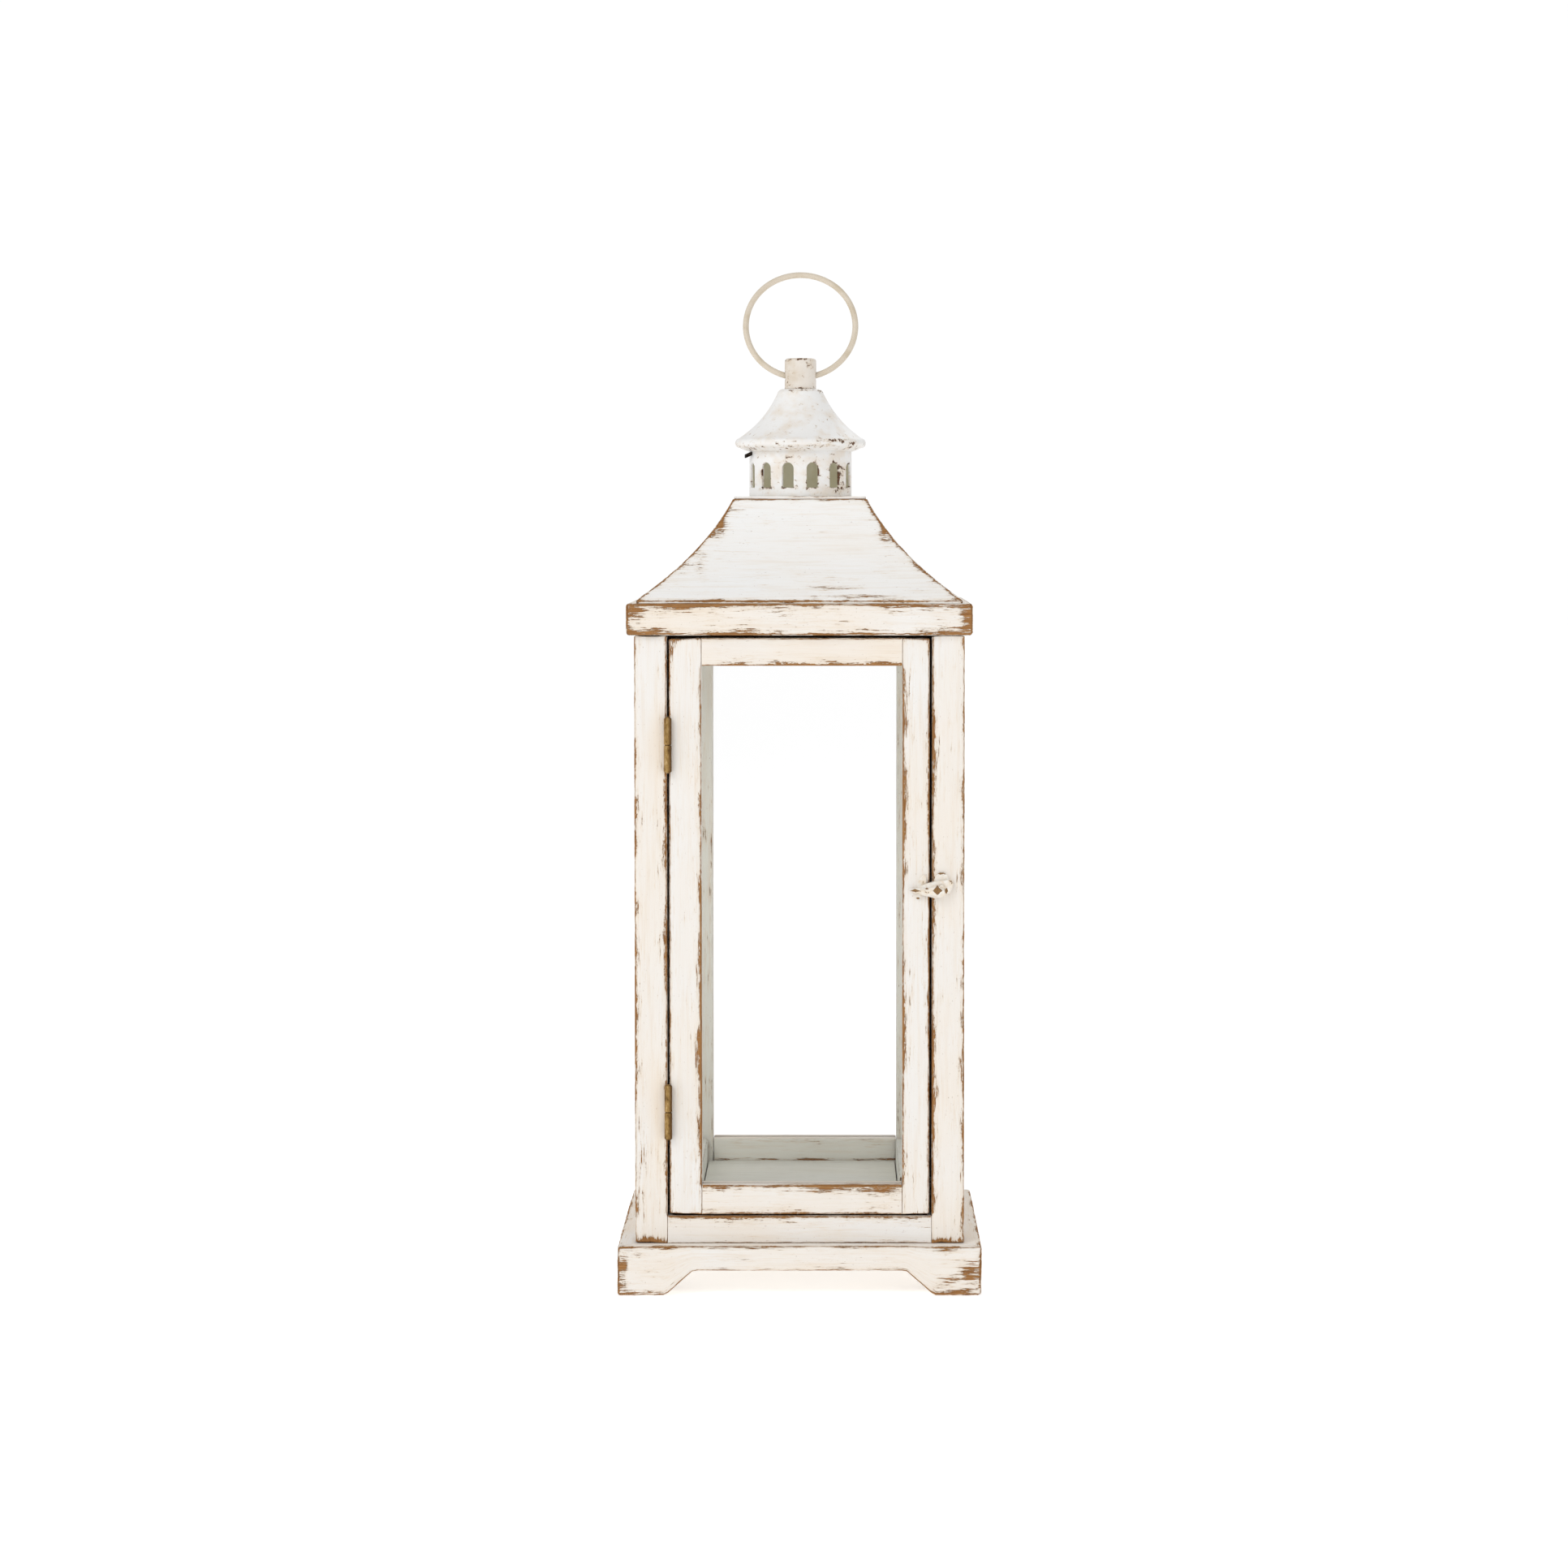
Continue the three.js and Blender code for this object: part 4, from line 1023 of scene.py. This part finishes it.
def chimney_cap():
    low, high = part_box("chimney_cap")
    base, top, brim = low.z, high.z, high.x
    lip = 2.6 * MM
    centre = (brim - lip, base + 4.5 * MM)

    def above_base(radius, rise):
        return radius * MM, base + rise * MM

    under_lip = [above_base(24.5, 10.4), above_base(24.5, 0), above_base(28, 0), above_base(30.4, 0.9)]
    rim = arc(centre, lip, -85, 78, 17)
    skirt = curve_points(rim[-1], above_base(19.5, 16.3), above_base(12.6, 30.6), 34)[1:]
    shoulder = [above_base(12.1, 31.8), above_base(11.4, 32.7)]
    shoulder += [(10.3 * MM, top - 0.15 * MM), (9.8 * MM, top)]
    inner = curve_points(above_base(23.6, 10.8), above_base(18.0, 15.6), above_base(11.2, 30.4), 12)
    ceiling = [(0.2 * MM, top - 1.2 * MM), (9.4 * MM, top - 1.2 * MM)]
    profile = [*ceiling, *inner[::-1], *under_lip, *rim, *skirt, *shoulder, (0.2 * MM, top)]
    segments = 128
    points = turned_rings(profile, segments, wobble=0.18 * MM, seed=2.3)
    lengths = np.array(profile)
    to_rim = np.abs(np.linalg.norm(lengths - np.array([brim, centre[1]]), axis=1) - 0.3 * MM) + 0.5 * MM
    to_shoulder = np.linalg.norm(lengths - np.array(above_base(11.4, 32.7)), axis=1) + 0.4 * MM
    edge = np.repeat(np.minimum(to_rim, to_shoulder), segments)
    spots = [((19, -29, 446.0), (10, 8, 1.0), 0.66), ((27, -22, 444.6), (7, 8, 0.9), 0.55),
             ((4, -34, 443.0), (12, 4, 0.7), 0.42), ((-24, -25, 443.2), (12, 8, 0.8), 0.25),
             ((13, -10, 457), (5, 9, 4), 0.14), ((2, -11, 473.4), (7, 4, 0.9), 0.6),
             ((11, -4, 472.6), (2, 4, 1.6), 0.5), ((20, 26, 445), (14, 9, 1.4), 0.5),
             ((-30, 12, 446), (8, 12, 1.2), 0.4)]
    faces = ring_faces(len(profile), segments)
    attributes = metal_attributes(points, edge, spots)
    # The under half of the rolled brim is tinted darker all the way round, as painted shade,
    # and chips a little more there, as wear.
    height = points[:, Z]
    under = np.clip((centre[1] - 0.2 * MM - height) / (1.5 * MM), 0, 1) * (height > base + 0.5 * MM)
    attributes["wear"] = np.maximum(attributes["wear"], 0.26 * under)
    finish_piece("chimney_cap_metal", points, faces, ["chimney_cap"], attributes)


def cut_with(piece, cutter):
    """Subtracts cutter from piece for good and removes cutter."""
    cut = piece.modifiers.new("cut", "BOOLEAN")
    cut.operation = "DIFFERENCE"
    cut.solver = "EXACT"
    cut.object = cutter
    names = [m.name for m in piece.modifiers]
    piece.modifiers.move(names.index("cut"), 0)
    for other in piece.modifiers[1:]:
        other.show_viewport = False
    graph = bpy.context.evaluated_depsgraph_get()
    mesh = bpy.data.meshes.new_from_object(
        piece.evaluated_get(graph), preserve_all_data_layers=True, depsgraph=graph,
    )
    piece.modifiers.remove(cut)
    for other in piece.modifiers:
        other.show_viewport = True
    old = piece.data
    piece.data = mesh
    bpy.data.meshes.remove(old)
    bpy.data.objects.remove(cutter)


RING_PIVOT = 480.8 * MM
RING_WIRE, RING_RADIUS, RING_CENTRE = 1.6 * MM, 29.6 * MM, 29.0 * MM
RING_LEAN = math.radians(19)


def neck():
    low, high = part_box("neck")
    radius, soft = high.x, 1.8 * MM
    profile = [(0.2 * MM, low.z), (radius - 0.2 * MM, low.z), (radius, low.z + 0.3 * MM)]
    profile += [(radius, low.z + 2 * MM)]
    profile += [(radius, z) for z in np.linspace(low.z + 4 * MM, high.z - soft - 1 * MM, 8)]
    profile += arc((radius - soft, high.z - soft), soft, 0, 90, 8)
    profile += [(radius * 0.5, high.z), (0.2 * MM, high.z)]
    segments = 96
    points = turned_rings(profile, segments, wobble=0.12 * MM, seed=4.1)
    lengths = np.array(profile)
    to_top = np.linalg.norm(lengths - np.array([radius, high.z - 0.6 * MM]), axis=1)
    to_foot = np.linalg.norm(lengths - np.array([radius, low.z]), axis=1)
    edge = np.repeat(np.minimum(to_top, to_foot) * 0.8, segments)
    spots = [((1, -8.5, 490), (7, 3, 0.6), 0.45), ((6, -7, 487), (1.6, 4, 2), 0.4),
             ((-7, -4, 476.5), (2, 4, 2.5), 0.45), ((2, -8.5, 474.4), (6, 4, 0.7), 0.45),
             ((8.4, 0, 480.8), (1, 3.4, 3.4), 0.35), ((-8.4, 0, 480.8), (1, 3.4, 3.4), 0.35)]
    attributes = metal_attributes(points, edge, spots)
    faces = ring_faces(len(profile), segments)
    piece = finish_piece("neck_metal", points, faces, ["neck"], attributes, NECK_ENAMEL)
    hole = turned_rings([(2.5 * MM, -16 * MM), (2.5 * MM, 16 * MM)], 32)
    hole = np.stack([hole[:, Z], hole[:, Y], -hole[:, X] + RING_PIVOT], axis=1)
    mesh = bpy.data.meshes.new("hole")
    mesh.from_pydata([tuple(p) for p in hole], [], ring_faces(2, 32))
    cutter = bpy.data.objects.new("hole", mesh)
    bpy.context.scene.collection.objects.link(cutter)
    face_outwards(mesh)
    cut_with(piece, cutter)


def carrying_ring():
    """Round wire bent to a loop, a little uneven, hung in the neck's hole and leaning back."""
    around, wire = 160, 16
    turns = np.arange(around) * 2 * math.pi / around
    points = []
    for a in turns:
        uneven = 0.9985 + 0.0025 * noise.noise(Vector((math.cos(a) * 1.3, math.sin(a) * 1.3, 0.7)))
        reach = RING_RADIUS * (uneven if math.cos(a) > -0.8 else 1.0)
        for j in range(wire):
            b = 2 * math.pi * j / wire
            r = reach + RING_WIRE * math.cos(b)
            points.append((r * math.sin(a), RING_WIRE * math.sin(b), RING_CENTRE + r * math.cos(a)))
    points = np.array(points)
    back, up = math.sin(RING_LEAN), math.cos(RING_LEAN)
    y = points[:, Y] * up + points[:, Z] * back
    z = -points[:, Y] * back + points[:, Z] * up + RING_PIVOT
    placed = np.stack([points[:, X], y, z], axis=1)
    faces = ring_faces(around, wire, ends="joined")
    spots = [((-8, 0, 482), (5, 6, 3), 0.5), ((9, 1, 482), (4, 6, 3), 0.4), ((26, 16, 500), (4, 6, 6), 0.2)]
    attributes = metal_attributes(placed, np.full(len(placed), 0.02), spots)
    finish_piece("carrying_ring_wire", placed, faces, ["carrying_ring"], attributes)


BOX_FACES = ((0, 1, 3, 2), (4, 6, 7, 5), (0, 4, 5, 1), (2, 3, 7, 6), (0, 2, 6, 4), (1, 5, 7, 3))


def brass_piece(node, points, faces):
    attributes = metal_attributes(points, np.full(len(points), 0.02))
    finish_piece(node + "_brass", points, faces, [node], attributes)


def hinges():
    """Each leaf is a thin plate with one knuckle; the pin has a domed head at both ends."""
    outer, bore, soft = 2.0 * MM, 0.9 * MM, 0.35 * MM
    segments = 40
    for level in ("lower", "upper"):
        axis_low, axis_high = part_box(f"hinge_{level}_pin")
        x, y = (axis_low.x + axis_high.x) / 2, (axis_low.y + axis_high.y) / 2
        leaves = {part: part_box(f"hinge_{level}_{part}") for part in ("post_leaf", "door_leaf")}
        bottom, top = leaves["post_leaf"][0].z, leaves["post_leaf"][1].z
        middle = (bottom + top) / 2
        spans = {"post_leaf": (bottom, middle - 0.1 * MM), "door_leaf": (middle + 0.1 * MM, top)}
        for part, (z0, z1) in spans.items():
            node = f"hinge_{level}_{part}"
            profile = [
                (bore, z0), (outer - soft, z0), (outer, z0 + soft), (outer, (z0 * 2 + z1) / 3),
                (outer, (z0 + 2 * z1) / 3), (outer, z1 - soft), (outer - soft, z1), (bore, z1),
            ]
            knuckle = turned_rings(profile, segments, wobble=0.05 * MM, seed=z0) + np.array([x, y, 0])
            faces = ring_faces(len(profile), segments, ends="joined")
            on_post = part == "post_leaf"
            face = leaves[part]
            thick = 0.45 * MM
            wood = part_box("post_front_left")[1].x if on_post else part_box("door_stile_hinge")[0].x
            x0, x1 = (wood, wood + thick) if on_post else (wood - thick, wood)
            plates = [
                (x0, x1, y + 1.2 * MM, face[1].y - 9 * MM, z0, z1),
                (x0, x1, face[1].y - 10.0 * MM, face[1].y, bottom, top),
            ]
            points = list(map(tuple, knuckle))
            for a0, a1, b0, b1, c0, c1 in plates:
                start = len(points)
                points += [(a, b, c) for a in (a0, a1) for b in (b0, b1) for c in (c0, c1)]
                faces += [tuple(start + k for k in quad) for quad in BOX_FACES]
            brass_piece(node, np.array(points), faces)
        node = f"hinge_{level}_pin"
        shank, head, dome = 0.8 * MM, 1.5 * MM, 0.5 * MM
        z0, z1 = axis_low.z, axis_high.z
        half_pin = [(0.05 * MM, 0), (0.9 * MM, 0.06 * MM), (head, 0.35 * MM), (head, dome), (shank, dome)]
        profile = [(r, z0 + rise) for r, rise in half_pin] + [(r, z1 - rise) for r, rise in half_pin[::-1]]
        pin = turned_rings(profile, 32) + np.array([x, y, 0])
        brass_piece(node, pin, ring_faces(len(profile), 32))


def soften(node, width, segments=2):
    """A CAD node keeps its shape and gets small rounds on its edges."""
    piece = frame["nodes"][node]
    bevel = piece.modifiers.new("rounds", "BEVEL")
    bevel.width = width
    bevel.segments = segments
    bevel.limit_method = "ANGLE"
    bevel.angle_limit = math.radians(18)
    bevel.harden_normals = True
    for polygon in piece.data.polygons:
        polygon.use_smooth = True
    return piece


def finish_node(node, material):
    piece = frame["nodes"][node]
    piece.data.materials.clear()
    piece.data.materials.append(material)


def latch_enamel():
    """The turn button's enamel: chipped on the grip's broad facet, its tip and its rims."""
    t = Tree("turn_button_enamel")
    place = t.place()
    x, y, z = t.apart(t.scaled(place, (1000, 1000, 1000)))
    ragged = t.math("SUBTRACT", t.noise(place, scale=900, detail=4.0, roughness=0.65), 0.5)
    cloud = t.noise(place, scale=240, detail=3.0)

    def diamond(centre_x, centre_z, reach_x, reach_z, border):
        dx = t.math("DIVIDE", t.math("ABSOLUTE", t.math("SUBTRACT", x, centre_x)), reach_x)
        dz = t.math("DIVIDE", t.math("ABSOLUTE", t.math("SUBTRACT", z, centre_z)), reach_z)
        total = t.math("ADD", t.math("ADD", dx, dz), t.math("MULTIPLY", ragged, border))
        return t.step(total, 1.04, 0.96)

    facet = diamond(71.7, 211.6, 2.5, 2.4, 0.7)
    tip = diamond(60.2, 211.3, 3.0, 0.8, 1.4)
    fleck = diamond(66.2, 212.5, 1.4, 0.4, 2.0)
    end = diamond(76.4, 211.2, 1.0, 1.7, 1.4)
    crown = diamond(74.4, 220.1, 4.4, 0.6, 3.0)
    foot = diamond(61.9, 207.0, 1.6, 0.7, 3.0)
    bare = t.step(t.math("MULTIPLY_ADD", ragged, 0.5, cloud), 0.66, 0.69)
    for mask in (facet, tip, fleck, end, crown, foot):
        bare = t.math("MAXIMUM", bare, mask)
    body = t.mix(t.step(cloud, 0.38, 0.66), srgb("#f0ece5"), srgb("#e6d8c4"))
    speckle = t.step(t.noise(place, scale=1500, detail=3.0), 0.35, 0.65)
    metal = t.mix(speckle, srgb("#74512a"), srgb("#94703d"))
    t.principled(
        Base_Color=t.mix(bare, body, metal),
        Roughness=t.math("MULTIPLY_ADD", bare, 0.16, t.step(cloud, 0.3, 0.7, 0.36, 0.46)),
        Normal=t.bump(t.math("SUBTRACT", 1.0, bare), 0.12 * MM, strength=0.8),
        Specular_IOR_Level=0.5,
    )
    return t.material


def small_metal():
    button = latch_enamel()
    bevels = {"latch_lever": 0.28 * MM, "latch_rosette": 0.4 * MM, "latch_keeper": 0.4 * MM}
    for node, width in bevels.items():
        soften(node, width)
        finish_node(node, button)
    for node, material in (("latch_pin", button), ("cap_lock_tab", DARK_STEEL)):
        soften(node, 0.3 * MM)
        finish_node(node, material)


def panes():
    for node, slot in SLOT_OF.items():
        if slot == "glass":
            finish_node(node, GLASS)
            soften(node, 0.15 * MM, segments=1)


vent_collar()
chimney_cap()
neck()
carrying_ring()
hinges()
small_metal()
panes()


# ---------- studio ----------
WORLD_LIGHT, WORLD_SEEN = 0.68, 1.02
FLOOR_REACH, FLOOR_GLOW = 14.0, 0.37
# name, place, aim, size in metres, watts
LAMPS = (
    ("key", (-1.5, -2.0, 2.1), (0, 0, 0.27), 1.3, 21),
    ("fill", (1.9, -1.7, 1.0), (0, 0, 0.27), 1.6, 2),
    ("back", (0.6, 2.2, 1.9), (0, 0, 0.3), 1.5, 9),
)
# The viewpoint that fits the photograph's edges best. The lens shift stays small, because
# views from other sides keep it.
LENS, SHIFT = 98.37, (-0.0295, -0.04)
VIEWPOINT, VIEW_DIRECTION = (0.01603, -2.31063, 0.40638), (0, 1, -0.04814)


def aimed(node, place, direction):
    """Puts a lamp or a camera in the scene, looking along a direction."""
    node.location = place
    node.rotation_mode = "QUATERNION"
    node.rotation_quaternion = Vector(direction).to_track_quat("-Z", "Y")
    bpy.context.scene.collection.objects.link(node)
    return node


def studio():
    scene = bpy.context.scene
    scene.view_settings.view_transform = "Standard"
    scene.view_settings.look = "None"
    world = bpy.data.worlds.new("studio")
    scene.world = world
    world.use_nodes = True
    # The camera sees a pure white backdrop; the light that it gives off is a little weaker.
    background = world.node_tree.nodes["Background"]
    background.inputs["Color"].default_value = (1.0, 1.0, 1.0, 1)
    seen = world.node_tree.nodes.new("ShaderNodeLightPath")
    strength = world.node_tree.nodes.new("ShaderNodeMapRange")
    strength.inputs["To Min"].default_value = WORLD_LIGHT
    strength.inputs["To Max"].default_value = WORLD_SEEN
    world.node_tree.links.new(seen.outputs["Is Camera Ray"], strength.inputs["Value"])
    world.node_tree.links.new(strength.outputs[0], background.inputs["Strength"])

    mesh = bpy.data.meshes.new("floor")
    reach = FLOOR_REACH
    square = [(-reach, -reach, 0), (reach, -reach, 0), (reach, reach, 0), (-reach, reach, 0)]
    mesh.from_pydata(square, [], [(0, 1, 2, 3)])
    floor = bpy.data.objects.new("floor", mesh)
    scene.collection.objects.link(floor)
    t = Tree("pale_floor")
    t.principled(
        Base_Color=srgb("#fafafa"), Roughness=0.9, Specular_IOR_Level=0.1,
        Emission_Color=(1.0, 1.0, 1.0), Emission_Strength=FLOOR_GLOW,
    )
    mesh.materials.append(t.material)

    for name, place, aim, size, watts in LAMPS:
        lamp = bpy.data.lights.new(name, "AREA")
        lamp.size = size
        lamp.energy = watts
        aimed(bpy.data.objects.new(name, lamp), place, Vector(aim) - Vector(place))


def camera():
    """The photograph's viewpoint: level with the top of the roof, a little right of the middle."""
    cam = bpy.data.cameras.new("camera")
    cam.sensor_width = 36
    cam.lens = LENS
    cam.shift_x, cam.shift_y = SHIFT
    cam.clip_start, cam.clip_end = 0.05, 60
    view = bpy.data.objects.new("camera", cam)
    bpy.context.scene.camera = aimed(view, VIEWPOINT, VIEW_DIRECTION)


studio()
camera()
